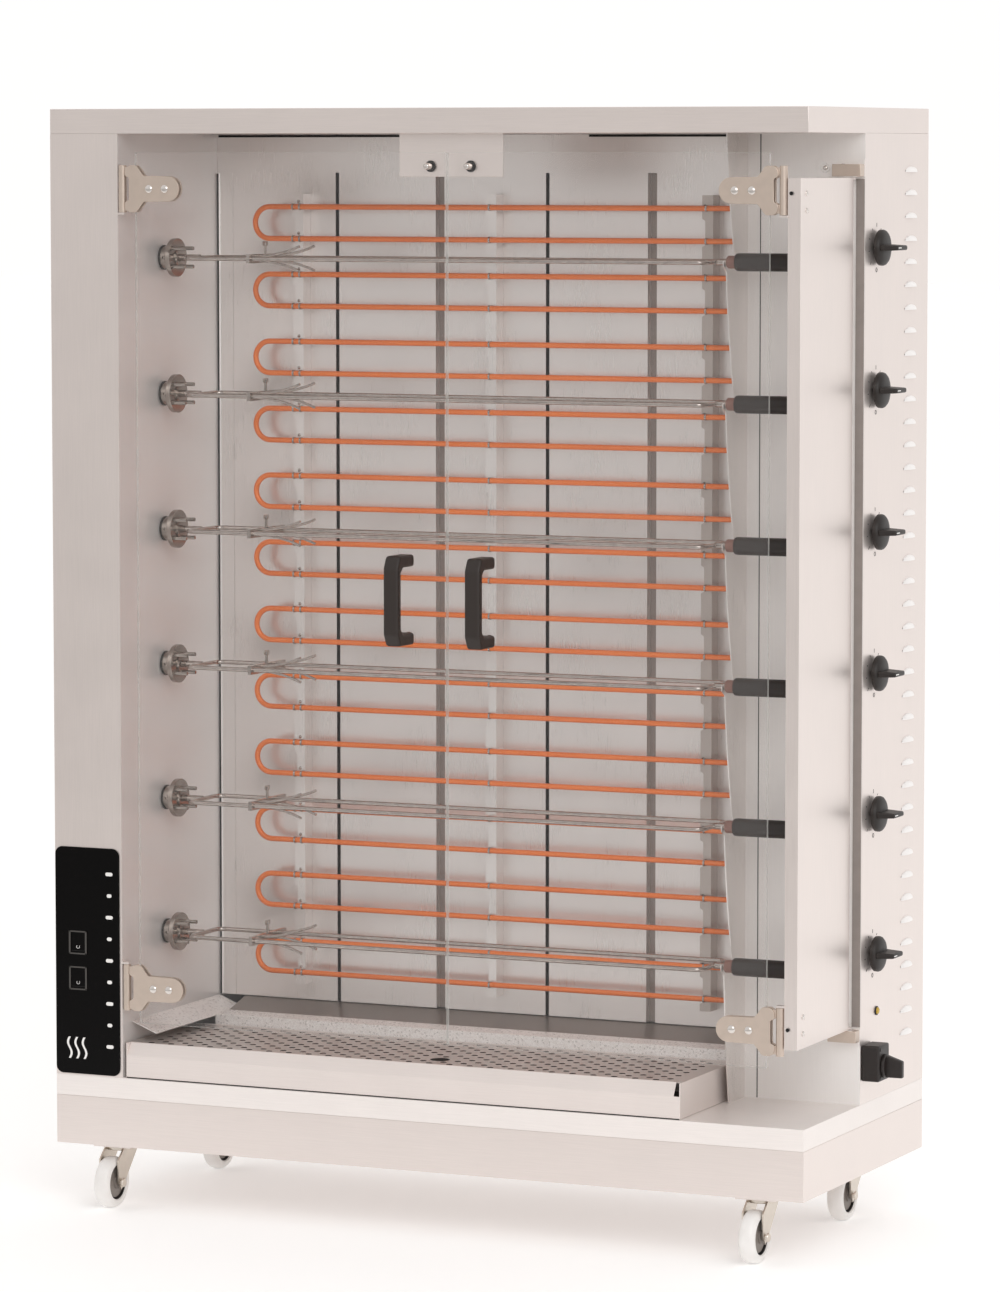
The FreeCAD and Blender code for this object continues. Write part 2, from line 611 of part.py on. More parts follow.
def pin_tab(pivot, anchor, anchor_end, end):
    """Tab beside a knuckle's end, with the pin that stands into the knuckle."""
    height, side = KNUCKLE_ENDS[end]
    low = f"{height} - move_gap - hinge_tab_thick" if side < 0 else f"{height} + move_gap"
    pin_low = low if side < 0 else f"{height} - hinge_pin_depth"
    span = (anchor, f"{pivot} + hinge_tab_half") if anchor_end == "left" else (f"{pivot} - hinge_tab_half", anchor)
    tab = box(span, ("hinge_middle - hinge_tab_half", "hinge_middle + hinge_tab_half"),
              (low, f"{low} + hinge_tab_thick"))
    pin = rod("z", "hinge_pin_radius", (pivot, "hinge_middle", pin_low),
              "hinge_pin_depth + move_gap + hinge_tab_thick")
    return fuse(tab, pin)


keep("left_column", fuse(cut(column_shell, *shaft_bores, *rocker_holes),
                         *[pin_tab("left_pivot", "column_face - sheet_wall / 2", "left", end)
                           for end in KNUCKLE_ENDS]))

panel = new_body("control_panel")
PANEL_LEFT = f"panel_edge - {HALF_WIDTH}"
PANEL_LOW = "deck_top + panel_rise"
face = new_sketch(panel, "XZ_Plane", HALF_DEPTH)
rectangle(face, PANEL_LEFT, f"{PANEL_LEFT} + panel_width", PANEL_LOW, f"{PANEL_LOW} + panel_height")
plate = pad(panel, face, "panel_thick")
doc.recompute()
corners = panel.newObject("PartDesign::Fillet", "corners")
corners.Base = (plate, [f"Edge{index}" for index, edge in enumerate(plate.Shape.Edges, start=1)
                        if edge.BoundBox.YLength > size("panel_thick") / 2 and edge.BoundBox.ZLength < 1])
bind(corners, "Radius", "panel_corner")
doc.recompute()
for height in ROCKERS.values():
    bezel = new_sketch(panel, "XZ_Plane", HALF_DEPTH)
    rectangle(bezel, "rocker_place - bezel_width / 2", "rocker_place + bezel_width / 2",
              f"{height} - bezel_height / 2", f"{height} + bezel_height / 2")
    pad(panel, bezel, "panel_thick + bezel_thick")
for height in ROCKERS.values():
    window = new_sketch(panel, "XZ_Plane", HALF_DEPTH)
    rectangle(window, "rocker_place - rocker_width / 2 - rocker_window_gap",
              "rocker_place + rocker_width / 2 + rocker_window_gap",
              f"{height} - rocker_radius - rocker_window_gap", f"{height} + rocker_radius + rocker_window_gap")
    pocket_through(panel, window)

for label, height in ROCKERS.items():
    pivot_depth = f"(rocker_pivot_inset - {HALF_DEPTH})"
    drum = rod("x", "rocker_radius", ("rocker_place - rocker_width / 2", pivot_depth, height), "rocker_width")
    slab = box(("rocker_place - rocker_width / 2 - cut_over", "rocker_place + rocker_width / 2 + cut_over"),
               ("0", "rocker_thick"), ("0", "3 * rocker_radius"))
    slab.Placement = Placement(Vector(), Rotation(Vector(1, 0, 0), -size("rocker_tilt")))
    place(slab, "rocker_place - rocker_width / 2 - 1", f"{pivot_depth} - rocker_proud",
          f"{height} - 4 / 3 * rocker_radius")
    keep(label, common(drum, slab))

# The drive: a geared motor behind the lowest chuck, and the chain round all six sprockets.
chain_reach = size("sprocket_radius") + size("move_gap")
chain_x = size("column_face") - size("sprocket_inset") - size("sprocket_width")


def obround(radius):
    low, high = size("spit_lowest"), size("spit_lowest") + 5 * size("spit_pitch")
    middle = size("spit_axis")
    spots = [Vector(chain_x, middle - radius, low), Vector(chain_x, middle, low - radius),
             Vector(chain_x, middle + radius, low), Vector(chain_x, middle + radius, high),
             Vector(chain_x, middle, high + radius), Vector(chain_x, middle - radius, high)]
    edges = [Part.Arc(*spots[:3]), Part.LineSegment(*spots[2:4]), Part.Arc(*spots[3:]),
             Part.LineSegment(spots[5], spots[0])]
    return Part.Wire([edge.toShape() for edge in edges])


chain_face = Part.makeFace([obround(chain_reach + size("chain_thick")), obround(chain_reach)],
                           "Part::FaceMakerBullseye")
chain = drawn(chain_face.extrude(Vector(size("sprocket_width"), 0, 0)))
motor_end = "column_face - chuck_shaft_length - move_gap"
motor = fuse(box((f"{motor_end} - motor_length", motor_end),
                 ("spit_axis - motor_half_width", "spit_axis + motor_half_width"),
                 ("spit_lowest - motor_half_height", "spit_lowest + motor_half_height")),
             rod("z", "motor_barrel_radius",
                 (f"{motor_end} - motor_length / 2 - motor_barrel_offset",
                  "spit_axis + motor_barrel_offset", "spit_lowest - motor_barrel_drop"),
                 "motor_barrel_drop - motor_half_height + cut_over"))
keep("spit_drive", group(motor, chain))

# ---------------------------------------------------------------- chucks
for number in SPITS:
    chuck = new_body(f"chuck_{number}")
    shaft = new_sketch(chuck, "YZ_Plane", "-chuck_shaft_length")
    circle(shaft, "chuck_shaft_radius")
    pad(chuck, shaft, "chuck_shaft_length + 2 * cut_over")
    sprocket = new_sketch(chuck, "YZ_Plane", "-sprocket_inset - sprocket_width")
    circle(sprocket, "sprocket_radius")
    pad(chuck, sprocket, "sprocket_width")
    hub = new_sketch(chuck, "YZ_Plane", "move_gap")
    circle(hub, "chuck_hub_radius")
    pad(chuck, hub, "chuck_hub_length - move_gap")
    disc = new_sketch(chuck, "YZ_Plane", "chuck_hub_length")
    circle(disc, "chuck_disc_radius")
    circle(disc, "spit_tip_radius + 2 * bore_gap")
    pad(chuck, disc, "chuck_disc_width")
    pin = new_sketch(chuck, "YZ_Plane", "chuck_hub_length + chuck_disc_width - cut_over")
    circle(pin, "chuck_pin_radius", "chuck_pin_circle * 0.7071", "chuck_pin_circle * 0.7071")
    pin_pad = pad(chuck, pin, "chuck_pin_length + cut_over")
    pins = chuck.newObject("PartDesign::PolarPattern", "pins")
    pins.Originals = [pin_pad]
    pins.Axis = (next(item for item in chuck.Origin.OriginFeatures if item.Role == "X_Axis"), [""])
    pins.Angle = 360
    pins.Occurrences = 4
    chuck.Tip = pins
    place(chuck, "column_face", "spit_axis", spit_height(number))

# ---------------------------------------------------------------- spits
CHUCK_FACE = "(column_face + chuck_hub_length + chuck_disc_width)"


def rod_frame(height):
    """Closed rod loop: four straight runs joined by round bends, swept by the rod's section."""
    middle, half, bend = size("spit_axis"), size("spit_half_width"), size("spit_corner")
    left, right = size("spit_left"), size("spit_right")
    corner_turn = math.sqrt(0.5)
    edges = []
    for index, (x, y, dx, dy) in enumerate([(left, middle - half, 1, 1), (right, middle - half, -1, 1),
                                            (right, middle + half, -1, -1), (left, middle + half, 1, -1)]):
        centre = Vector(x + dx * bend, y + dy * bend, height)
        entry = Vector(x, y + dy * bend, height) if index % 2 == 0 else Vector(x + dx * bend, y, height)
        leave = Vector(x + dx * bend, y, height) if index % 2 == 0 else Vector(x, y + dy * bend, height)
        belly = centre - Vector(dx, dy, 0) * bend * corner_turn
        edges.append((entry, belly, leave))
    path = []
    for index, (entry, belly, leave) in enumerate(edges):
        path.append(Part.Arc(entry, belly, leave).toShape())
        path.append(Part.LineSegment(leave, edges[(index + 1) % 4][0]).toShape())
    start = edges[0][0]
    section = Part.Wire(Part.makeCircle(size("spit_rod_radius"), start, Vector(0, 1, 0)))
    return Part.Wire(path).makePipeShell([section], True, True)


# Where a prong's bend passes, as shares of its reach and of its spread.
PRONG_BELLY = (0.53, 0.27)


def prong(side, rise, height):
    """One prong of the meat fork, leaving the bar and curving away from the spit."""
    x, y = size("meat_fork_place"), size("spit_axis") + side * size("prong_spread")
    root, tip, reach = size("prong_root"), size("prong_tip"), size("prong_reach")
    start = Vector(x, y, height + rise * root)
    belly = Vector(x + PRONG_BELLY[0] * reach, y, height + rise * (root + PRONG_BELLY[1] * (tip - root)))
    path = Part.Wire([Part.Arc(start, belly, Vector(x + reach, y, height + rise * tip)).toShape()])
    section = Part.Wire(Part.makeCircle(size("prong_radius"), start, Vector(1, 0, 0)))
    return path.makePipeShell([section], True, False)


for number in SPITS:
    height = size("spit_lowest") + (number - 1) * size("spit_pitch")
    axis_height = spit_height(number)
    tip = rod("x", "spit_tip_radius", (f"{CHUCK_FACE} - spit_tip_depth", "spit_axis", axis_height),
              f"spit_left - {CHUCK_FACE} + spit_tip_depth")
    journal = rod("x", "spit_tip_radius", ("spit_right", "spit_axis", axis_height), "collar_left - spit_right")
    frame = fuse(drawn(rod_frame(height)), tip, journal)
    fork_bar = box(("meat_fork_place - meat_fork_thick / 2", "meat_fork_place + meat_fork_thick / 2"),
                   ("spit_axis - spit_half_width - meat_fork_overhang",
                    "spit_axis + spit_half_width + meat_fork_overhang"),
                   (f"{axis_height} - meat_fork_tall / 2", f"{axis_height} + meat_fork_tall / 2"))
    fork_holes = [rod("x", "spit_rod_radius + bore_gap",
                      ("meat_fork_place - meat_fork_thick", f"spit_axis + {side} * spit_half_width", axis_height),
                      "2 * meat_fork_thick")
                  for side in (-1, 1)]
    prongs = [drawn(prong(side, rise, height)) for side in (-1, 1) for rise in (-1, 1)]
    fork = fuse(cut(fork_bar, *fork_holes), *prongs)
    keep(f"spit_{number}", group(frame, fork))

    grip = new_body(f"spit_grip_{number}")
    collar = new_sketch(grip, "YZ_Plane", "collar_left")
    circle(collar, "collar_radius")
    pad(grip, collar, "grip_left - collar_left + cut_over")
    handle = new_sketch(grip, "YZ_Plane", "grip_left")
    circle(handle, "grip_radius")
    pad(grip, handle, "grip_right - grip_left")
    place(grip, "0", "spit_axis", axis_height)

# ---------------------------------------------------------------- cavity walls
# The rest plate is the cavity's right wall.  Its front edge swells forward below each spit
# into a hook that carries the spit's journal, and curves back again down to the next hook.
journal_depth = size("spit_axis")
hook_radius = size("spit_tip_radius") + size("hook_slack")
hook_front = journal_depth - hook_radius - size("hook_lip")
HOOK_DROP, HOOK_SLOPE, HOOK_RISE, WAIST_RISE = 14, 7, 2, 8
# Where the scallops' curves pass, as shares of the way from waist to swell and of their height.
BELLY_DEPTH, BELLY_HEIGHT, FOOT_START, FOOT_DEPTH, FOOT_HEIGHT = 0.72, 0.6, 0.35, 0.81, 0.56
swell, waist = journal_depth + size("scallop_swell"), journal_depth + size("scallop_waist")
plate_rear = size("cavity_back")
floor, ceiling = size("deck_top"), size("hood_bottom")
heights = [size("spit_lowest") + step * size("spit_pitch") for step in range(6)]


def spot(depth, height):
    return Vector(size("rest_plate_left"), depth, height)


def scallop(low, high):
    """Curve from the waist just above one spit up to the swell below the next."""
    belly = spot(waist + BELLY_DEPTH * (swell - waist), low + BELLY_HEIGHT * (high - low))
    return Part.Arc(spot(waist, low), belly, spot(swell, high)).toShape()


foot = waist + FOOT_START * (swell - waist)
foot_belly = spot(waist + FOOT_DEPTH * (swell - waist), floor + FOOT_HEIGHT * (heights[0] - floor))
outline = [Part.LineSegment(spot(plate_rear, ceiling), spot(plate_rear, floor)).toShape(),
           Part.LineSegment(spot(plate_rear, floor), spot(foot, floor)).toShape(),
           Part.Arc(spot(foot, floor), foot_belly, spot(swell, heights[0] - HOOK_DROP)).toShape()]
for number, height in enumerate(heights):
    hook = [spot(swell, height - HOOK_DROP), spot(hook_front, height - HOOK_SLOPE),
            spot(hook_front, height + HOOK_RISE), spot(journal_depth - hook_radius, height + HOOK_RISE),
            spot(journal_depth - hook_radius, height)]
    outline += [Part.LineSegment(*hook[step:step + 2]).toShape() for step in range(4)]
    outline.append(Part.Arc(hook[-1], spot(journal_depth, height - hook_radius),
                            spot(journal_depth + hook_radius, height)).toShape())
    outline.append(Part.LineSegment(spot(journal_depth + hook_radius, height), spot(waist, height)).toShape())
    outline.append(Part.LineSegment(spot(waist, height), spot(waist, height + WAIST_RISE)).toShape())
    upper = heights[number + 1] - HOOK_DROP if number < 5 else ceiling
    outline.append(scallop(height + WAIST_RISE, upper))
outline.append(Part.LineSegment(spot(swell, ceiling), spot(plate_rear, ceiling)).toShape())
plate_face = [Part.Wire(outline)]
for height in heights:
    for offset in (-1, 1):
        for leg in (-1, 1):
            centre = spot(size("element_plane"),
                          height + offset * size("element_offset") + leg * size("element_bend"))
            hole = Part.makeCircle(size("element_radius") + size("element_hole_gap"), centre, Vector(1, 0, 0))
            plate_face.append(Part.Wire(hole))
keep("rest_plate", drawn(Part.makeFace(plate_face, "Part::FaceMakerBullseye")
                         .extrude(Vector(size("sheet_wall"), 0, 0))))

# Rear reflector: three panels with open joints, and the rails that the elements hang on.
joints = (size("column_face") + size("joint_left_inset"),
          size("rest_plate_right") - size("joint_right_inset"))
panel_ends = [size("column_face") + size("sheet_gap")]
for joint in joints:
    panel_ends += [joint - size("joint_width") / 2, joint + size("joint_width") / 2]
panel_ends.append(size("rest_plate_left") - size("sheet_gap"))
panels = [box((panel_ends[step], panel_ends[step + 1]), ("cavity_back", "cavity_back + sheet_wall"),
              ("cavity_floor", "hood_bottom")) for step in (0, 2, 4)]
RAILS = ("(column_face + rail_left_inset)", "(rest_plate_right - rail_middle_inset)",
         "(rest_plate_right - rail_right_inset)")


def element_rail(middle):
    """Channel behind the elements, open towards the reflector."""
    low = "spit_lowest - element_offset - rail_overrun"
    high = f"{spit_height(6)} + element_offset + rail_overrun"
    outside = box((f"{middle} - rail_width / 2", f"{middle} + rail_width / 2"), ("rail_front", "cavity_back"),
                  (low, high))
    inside = box((f"{middle} - rail_width / 2 + sheet_wall", f"{middle} + rail_width / 2 - sheet_wall"),
                 ("rail_front + sheet_wall", "cavity_back + cut_over"), (f"{low} - cut_over", f"{high} + cut_over"))
    return cut(outside, inside)


keep("rear_reflector", group(*panels, *[element_rail(middle) for middle in RAILS]))

# Heating elements: a U-shaped tube above and below every spit.
loops = []
for number in SPITS:
    for side in (-1, 1):
        middle = f"({spit_height(number)} + {side} * element_offset)"
        bend_place = "(element_left + element_radius + element_bend)"
        bend = doc.addObject("Part::Torus", "bend")
        bend.Angle3 = 180
        bend.Placement = Placement(Vector(), TURN["y"] * Rotation(Vector(0, 0, 1), 90))
        bind(bend, "Radius1", "element_bend")
        bind(bend, "Radius2", "element_radius")
        place(bend, bend_place, "element_plane", middle)
        legs = [rod("x", "element_radius", (bend_place, "element_plane", f"{middle} + {leg} * element_bend"),
                    f"element_right - {bend_place}") for leg in (-1, 1)]
        loops.append(fuse(bend, *legs))
keep("heating_elements", group(*loops))

# Grease deflectors: a slanting sheet at the left, and one at the rear that ends in an apron.
# How far the folds of the rear one move its underside, as shares of the sheet's thickness.
LAP_SHARE, SLOPE_SHARE = 0.3, 1.07
wall, left_face = size("sheet_wall"), size("column_face") + size("sheet_gap")
slope_high = size("cavity_floor") - size("panel_lap")
slope_low = slope_high - size("deflector_slope")
left_end = left_face + size("deflector_width")
left_deflector = prism("xz", [(left_face, slope_high), (left_end, slope_low), (left_end, slope_low - wall),
                              (left_face, slope_high - wall)],
                       size("deflector_setback") - size("overall_depth") / 2, size("deflector_reach"))
ledge, apron = size("tray_top") + size("ledge_rise"), size("tray_rear") + size("apron_gap")
ledge_rear, back = apron + size("ledge_depth"), size("cavity_back")
apron_foot = size("deck_top") + size("sheet_gap")
rear_start = left_end + size("move_gap")
rear_deflector = prism("yz", [(back, slope_high), (ledge_rear, ledge), (apron, ledge), (apron, apron_foot),
                              (apron + wall, apron_foot), (apron + wall, ledge - wall),
                              (ledge_rear + LAP_SHARE * wall, ledge - wall),
                              (back, slope_high - SLOPE_SHARE * wall)],
                       rear_start, size("rest_plate_left") - size("move_gap") - rear_start)
keep("grease_deflectors", group(left_deflector, rear_deflector))

# ---------------------------------------------------------------- wiring housing and rear cover
housing_sheet = fuse(
    box(("rest_plate_right", HALF_WIDTH), ("housing_front", "housing_front + sheet_wall"), DECK_TO_HOOD),
    box((f"{HALF_WIDTH} - sheet_wall", HALF_WIDTH), ("housing_front", f"{HALF_DEPTH} - sheet_wall"),
        DECK_TO_HOOD))
side_span = (f"{HALF_WIDTH} - sheet_wall - cut_over", "sheet_wall + 2 * cut_over")
knob_bores = [rod("x", "knob_shaft_radius + bore_gap",
                  (side_span[0], "knob_depth", f"knob_lowest + {number - 1} * knob_pitch"), side_span[1])
              for number in SPITS]
lamp_bore = rod("x", "lamp_radius - lamp_rim", (side_span[0], "lamp_depth", "lamp_height"), side_span[1])
louvre_room = size("hood_bottom") - size("louvre_margin") - size("louvre_lowest")
louvre_count = int(louvre_room / size("louvre_pitch")) + 1
louvres = [box((side_span[0], f"{HALF_WIDTH} + cut_over"),
               ("louvre_depth - louvre_length / 2", "louvre_depth + louvre_length / 2"),
               (f"louvre_lowest + {step} * louvre_pitch - louvre_height / 2",
                f"louvre_lowest + {step} * louvre_pitch + louvre_height / 2"))
           for step in range(louvre_count)]


def flap_bracket(low, ear_low, pin_low):
    """Bracket on the housing's front with an ear and the pin that the flap turns on."""
    plate_span = ("housing_front - bracket_thick", "housing_front")
    plate = box((f"{HALF_WIDTH} - bracket_width", HALF_WIDTH), plate_span, (low, f"{low} + bracket_height"))
    ear = box(("flap_pivot_side - bracket_ear_half", "flap_pivot_side + bracket_ear_half"),
              ("flap_pivot_depth - bracket_ear_reach", "housing_front - bracket_thick"),
              (ear_low, f"{ear_low} + bracket_thick"))
    pin = rod("z", "flap_pin_radius", ("flap_pivot_side", "flap_pivot_depth", pin_low), "flap_pin_length")
    return fuse(plate, ear, pin)


keep("right_housing", group(cut(housing_sheet, *knob_bores, lamp_bore, *louvres),
                            flap_bracket("flap_top + bracket_gap", "flap_top + bracket_gap",
                                         "flap_top - flap_cap - flap_pin_over"),
                            flap_bracket("flap_bottom - bracket_height - bracket_gap",
                                         "flap_bottom - bracket_thick - bracket_gap",
                                         "flap_bottom - bracket_thick - bracket_gap")))
keep("rear_cover", box(("column_face + sheet_gap", HALF_WIDTH), (f"{HALF_DEPTH} - sheet_wall", HALF_DEPTH),
                       DECK_TO_HOOD))

# ---------------------------------------------------------------- hood and door catches
hood_pan = cut(
    box(("-" + HALF_WIDTH, HALF_WIDTH), ("-" + HALF_DEPTH, HALF_DEPTH), ("hood_bottom", "hood_top")),
    box((f"sheet_wall - {HALF_WIDTH}", f"{HALF_WIDTH} - sheet_wall"),
        (f"sheet_wall - {HALF_DEPTH}", f"{HALF_DEPTH} - sheet_wall"),
        ("hood_bottom + sheet_wall", "hood_top - sheet_wall")))
catch_tab = cut(box(("catch_plate_left", "catch_plate_right"),
                    ("catch_plate_front", "catch_plate_front + sheet_wall"), ("catch_plate_bottom", "hood_bottom")),
                *[rod("y", "catch_bush_radius",
                      (f"catch_{side}_place", "catch_plate_front - catch_bush_proud", "catch_height"),
                      "sheet_wall + 2 * cut_over") for side in ("left", "right")])
bushes = [cut(rod("y", "catch_bush_radius",
                  (f"catch_{side}_place", "catch_plate_front - catch_bush_proud", "catch_height"),
                  "catch_bush_length"),
              rod("y", "catch_pin_radius + bore_gap",
                  (f"catch_{side}_place", "catch_plate_front - catch_bush_proud - cut_over", "catch_height"),
                  "catch_bush_length + 2 * cut_over"))
          for side in ("left", "right")]
keep("hood", group(fuse(hood_pan, catch_tab), *bushes))
for side in ("left", "right"):
    keep(f"catch_pin_{side}", rod("y", "catch_pin_radius",
                                  (f"catch_{side}_place", "glass_rear + move_gap", "catch_height"),
                                  "catch_pin_length"))

# ---------------------------------------------------------------- side flap
inner = "flap_right - sheet_wall"
flap_sheet = fuse(
    box((inner, "flap_right"), ("-" + HALF_DEPTH, "flap_rear"), ("flap_bottom", "flap_top")),
    box(("flap_front_left", "flap_right"), ("-" + HALF_DEPTH, f"sheet_wall - {HALF_DEPTH}"),
        ("flap_bottom", "flap_top")),
    box(("flap_right - flap_return", "flap_right"), ("flap_rear - sheet_wall", "flap_rear"),
        ("flap_bottom", "flap_top")))


def flap_end(low):
    """End plate with the round ear that turns on the bracket's pin."""
    cap = box(("flap_right - flap_return", "flap_right"), ("-" + HALF_DEPTH, "flap_rear"),
              (low, f"{low} + flap_cap"))
    neck = box(("flap_pivot_side - flap_ear_radius", "flap_pivot_side + flap_ear_radius - cut_over"),
               ("flap_rear - flap_neck_lap", "flap_pivot_depth"), (low, f"{low} + flap_cap"))
    ear = rod("z", "flap_ear_radius", ("flap_pivot_side", "flap_pivot_depth", low), "flap_cap")
    bore = rod("z", "flap_pin_radius + bore_gap",
               ("flap_pivot_side", "flap_pivot_depth", f"{low} - cut_over"), "flap_cap + 2 * cut_over")
    return cut(fuse(cap, neck, ear), bore)


keep("side_flap", fuse(flap_sheet, flap_end("flap_bottom"), flap_end("flap_top - flap_cap"),
                       *[pin_tab("right_pivot", "flap_front_left + cut_over", "right", end)
                         for end in KNUCKLE_ENDS]))


# ---------------------------------------------------------------- glass doors
def glass_door(label, left, right):
    door = new_body(label)
    sketch = new_sketch(door, "XZ_Plane", HALF_DEPTH + " - glass_thick")
    rectangle(sketch, left, right, "glass_bottom", "glass_top")
    pad(door, sketch, "glass_thick")


def clamp_hinge(pivot, direction, height):
    """Knuckle on the pin, and two plates that grip the glass from both sides."""
    knuckle = rod("z", "hinge_radius", (pivot, "hinge_middle", f"{height} - hinge_height / 2"), "hinge_height")
    plates = []
    for face in (f"{GLASS_FRONT} - hinge_plate", "glass_rear"):
        faces = (face, f"{face} + hinge_plate")
        near, step = (pivot, f"{pivot} + {direction} * hinge_body_reach")[::direction]
        inner, tip = (pivot, f"{pivot} + {direction} * (hinge_arm_reach - hinge_arm_height / 2)")[::direction]
        plates.append(box((near, step), faces, (f"{height} - hinge_height / 2", f"{height} + hinge_height / 2")))
        plates.append(box((inner, tip), faces,
                          (f"{height} - hinge_arm_height / 2", f"{height} + hinge_arm_height / 2")))
        end = f"{pivot} + {direction} * (hinge_arm_reach - hinge_arm_height / 2)"
        plates.append(rod("y", "hinge_arm_height / 2", (end, face, height), "hinge_plate"))
    bridge = (pivot, f"{pivot} + {direction} * hinge_web")[::direction]
    web = box(bridge, (f"{GLASS_FRONT} - hinge_plate", f"glass_rear + hinge_plate"),
              (f"{height} - hinge_height / 2", f"{height} + hinge_height / 2"))
    bore = rod("z", "hinge_pin_radius + bore_gap",
               (pivot, "hinge_middle", f"{height} - hinge_height / 2 - 1"), "hinge_height + 2 * cut_over")
    return cut(fuse(knuckle, web, *plates), bore)


def door_handle(label, middle):
    """Bridge handle: a bar that stands off the glass on two feet, with chamfered shoulders."""
    root = -size("overall_depth") / 2
    front, back = root - size("handle_reach"), root - size("handle_reach") + size("handle_bar")
    low, high, foot = size("handle_bottom"), size("handle_top"), size("handle_foot")
    slope, chamfer = size("handle_bar") * 0.7, size("handle_chamfer")
    shoulder = [(root, low), (front + slope, low), (front, low + foot), (front, high - foot),
                (front + slope, high), (root, high), (root, high - foot), (back + chamfer, high - foot),
                (back, high - foot - chamfer), (back, low + foot + chamfer), (back + chamfer, low + foot),
                (root, low + foot)]
    keep(label, prism("yz", shoulder, size(middle) - size("handle_width") / 2, size("handle_width")))


glass_door("left_glass", "glass_left", "doors_meet - doors_gap / 2")
glass_door("right_glass", "doors_meet + doors_gap / 2", "glass_right")
keep("left_hinges", group(clamp_hinge("left_pivot", 1, "hinge_upper"),
                          clamp_hinge("left_pivot", 1, "hinge_lower")))
keep("right_hinges",
     group(clamp_hinge("right_pivot", -1, "hinge_upper"), clamp_hinge("right_pivot", -1, "hinge_lower")))
door_handle("left_handle", "handle_left_place")
door_handle("right_handle", "handle_right_place")

# ---------------------------------------------------------------- drip tray
tray_shell = cut(box(("tray_left", "tray_right"), ("tray_front", "tray_rear"), ("tray_low", "tray_top")),
                 box(("tray_left + sheet_wall", "tray_right - sheet_wall"),
                     ("tray_front - cut_over", "tray_rear - sheet_wall"),
                     ("tray_low + sheet_wall", "tray_top + cut_over")))
tray_low = size("tray_low")
front, fold, lip, top = size("tray_front"), size("tray_fold"), size("tray_lip_rear"), size("tray_top")
tray_front = prism("yz", [(front, tray_low), (front + wall, tray_low), (front + wall, fold), (lip + wall, top),
                          (lip, top), (front, fold)],
                   size("tray_left") + wall / 2, size("tray_lip_right") - size("tray_left") - wall / 2)
tray_end = box(("tray_lip_right - cut_over", "tray_right - sheet_wall / 2"), ("tray_front", "tray_front + sheet_wall"),
               ("tray_low", "tray_fold"))
keep("drip_tray", fuse(tray_shell, tray_front, tray_end))

# Perforated insert: staggered drain holes, a finger hole, and side skirts that stand in the tray.
insert_left = size("tray_left") + wall + size("insert_side_gap")
insert_right = size("tray_right") - wall - size("insert_side_gap")
insert_front = lip + wall + size("insert_front_gap")
insert_rear = size("tray_rear") - wall - size("insert_rear_gap")
insert_low = size("insert_top") - size("insert_sheet")
lift_hole = (size("lift_hole_place"), size("lift_hole_depth"), size("lift_hole_radius"))
holes = [lift_hole]
margin, row_margin, bridge_width = size("hole_margin"), 2 * size("hole_radius"), 3
rows = int((insert_rear - insert_front - 2 * row_margin) / size("hole_row")) + 1
columns = int((insert_right - insert_left - 2 * margin) / size("hole_pitch")) + 1
for row in range(rows):
    for column in range(columns):
        across = insert_left + margin + (column + 0.5 * (row % 2)) * size("hole_pitch")
        deep = insert_front + row_margin + row * size("hole_row")
        clearance = size("lift_hole_radius") + size("hole_radius") + bridge_width
        if across < insert_right - 0.4 * margin and math.dist((across, deep), lift_hole[:2]) > clearance:
            holes.append((across, deep, size("hole_radius")))
insert_plate = prism("xy", [(insert_left, insert_front), (insert_right, insert_front),
                            (insert_right, insert_rear), (insert_left, insert_rear)],
                     insert_low, size("insert_sheet"), holes)
skirt_low = tray_low + wall + size("move_gap")
skirt_high, skirt_thick = insert_low + size("insert_sheet") / 2, size("insert_sheet")
skirts = [prism("xz", [(start, skirt_low), (start + skirt_thick, skirt_low), (start + skirt_thick, skirt_high),
                       (start, skirt_high)], insert_front, insert_rear - insert_front)
          for start in (insert_left, insert_right - skirt_thick)]
keep("tray_insert", fuse(insert_plate, *skirts))

# ---------------------------------------------------------------- controls on the right side
for number in SPITS:
    knob = new_body(f"knob_{number}")
    stem = new_sketch(knob, "YZ_Plane", "-knob_shaft_depth")
    circle(stem, "knob_shaft_radius")
    pad(knob, stem, "knob_shaft_depth + knob_standoff + cut_over")
    skirt = new_sketch(knob, "YZ_Plane", "knob_standoff")
    circle(skirt, "knob_radius")
    pad(knob, skirt, "knob_disc_width")
    bar = new_sketch(knob, "YZ_Plane", "knob_standoff + knob_disc_width - cut_over")
    rectangle(bar, "1 - knob_radius", "knob_radius - cut_over", "-knob_grip_width / 2", "knob_grip_width / 2")
    pad(knob, bar, "knob_grip_reach + cut_over")
    place(knob, HALF_WIDTH, "knob_depth", f"knob_lowest + {number - 1} * knob_pitch")

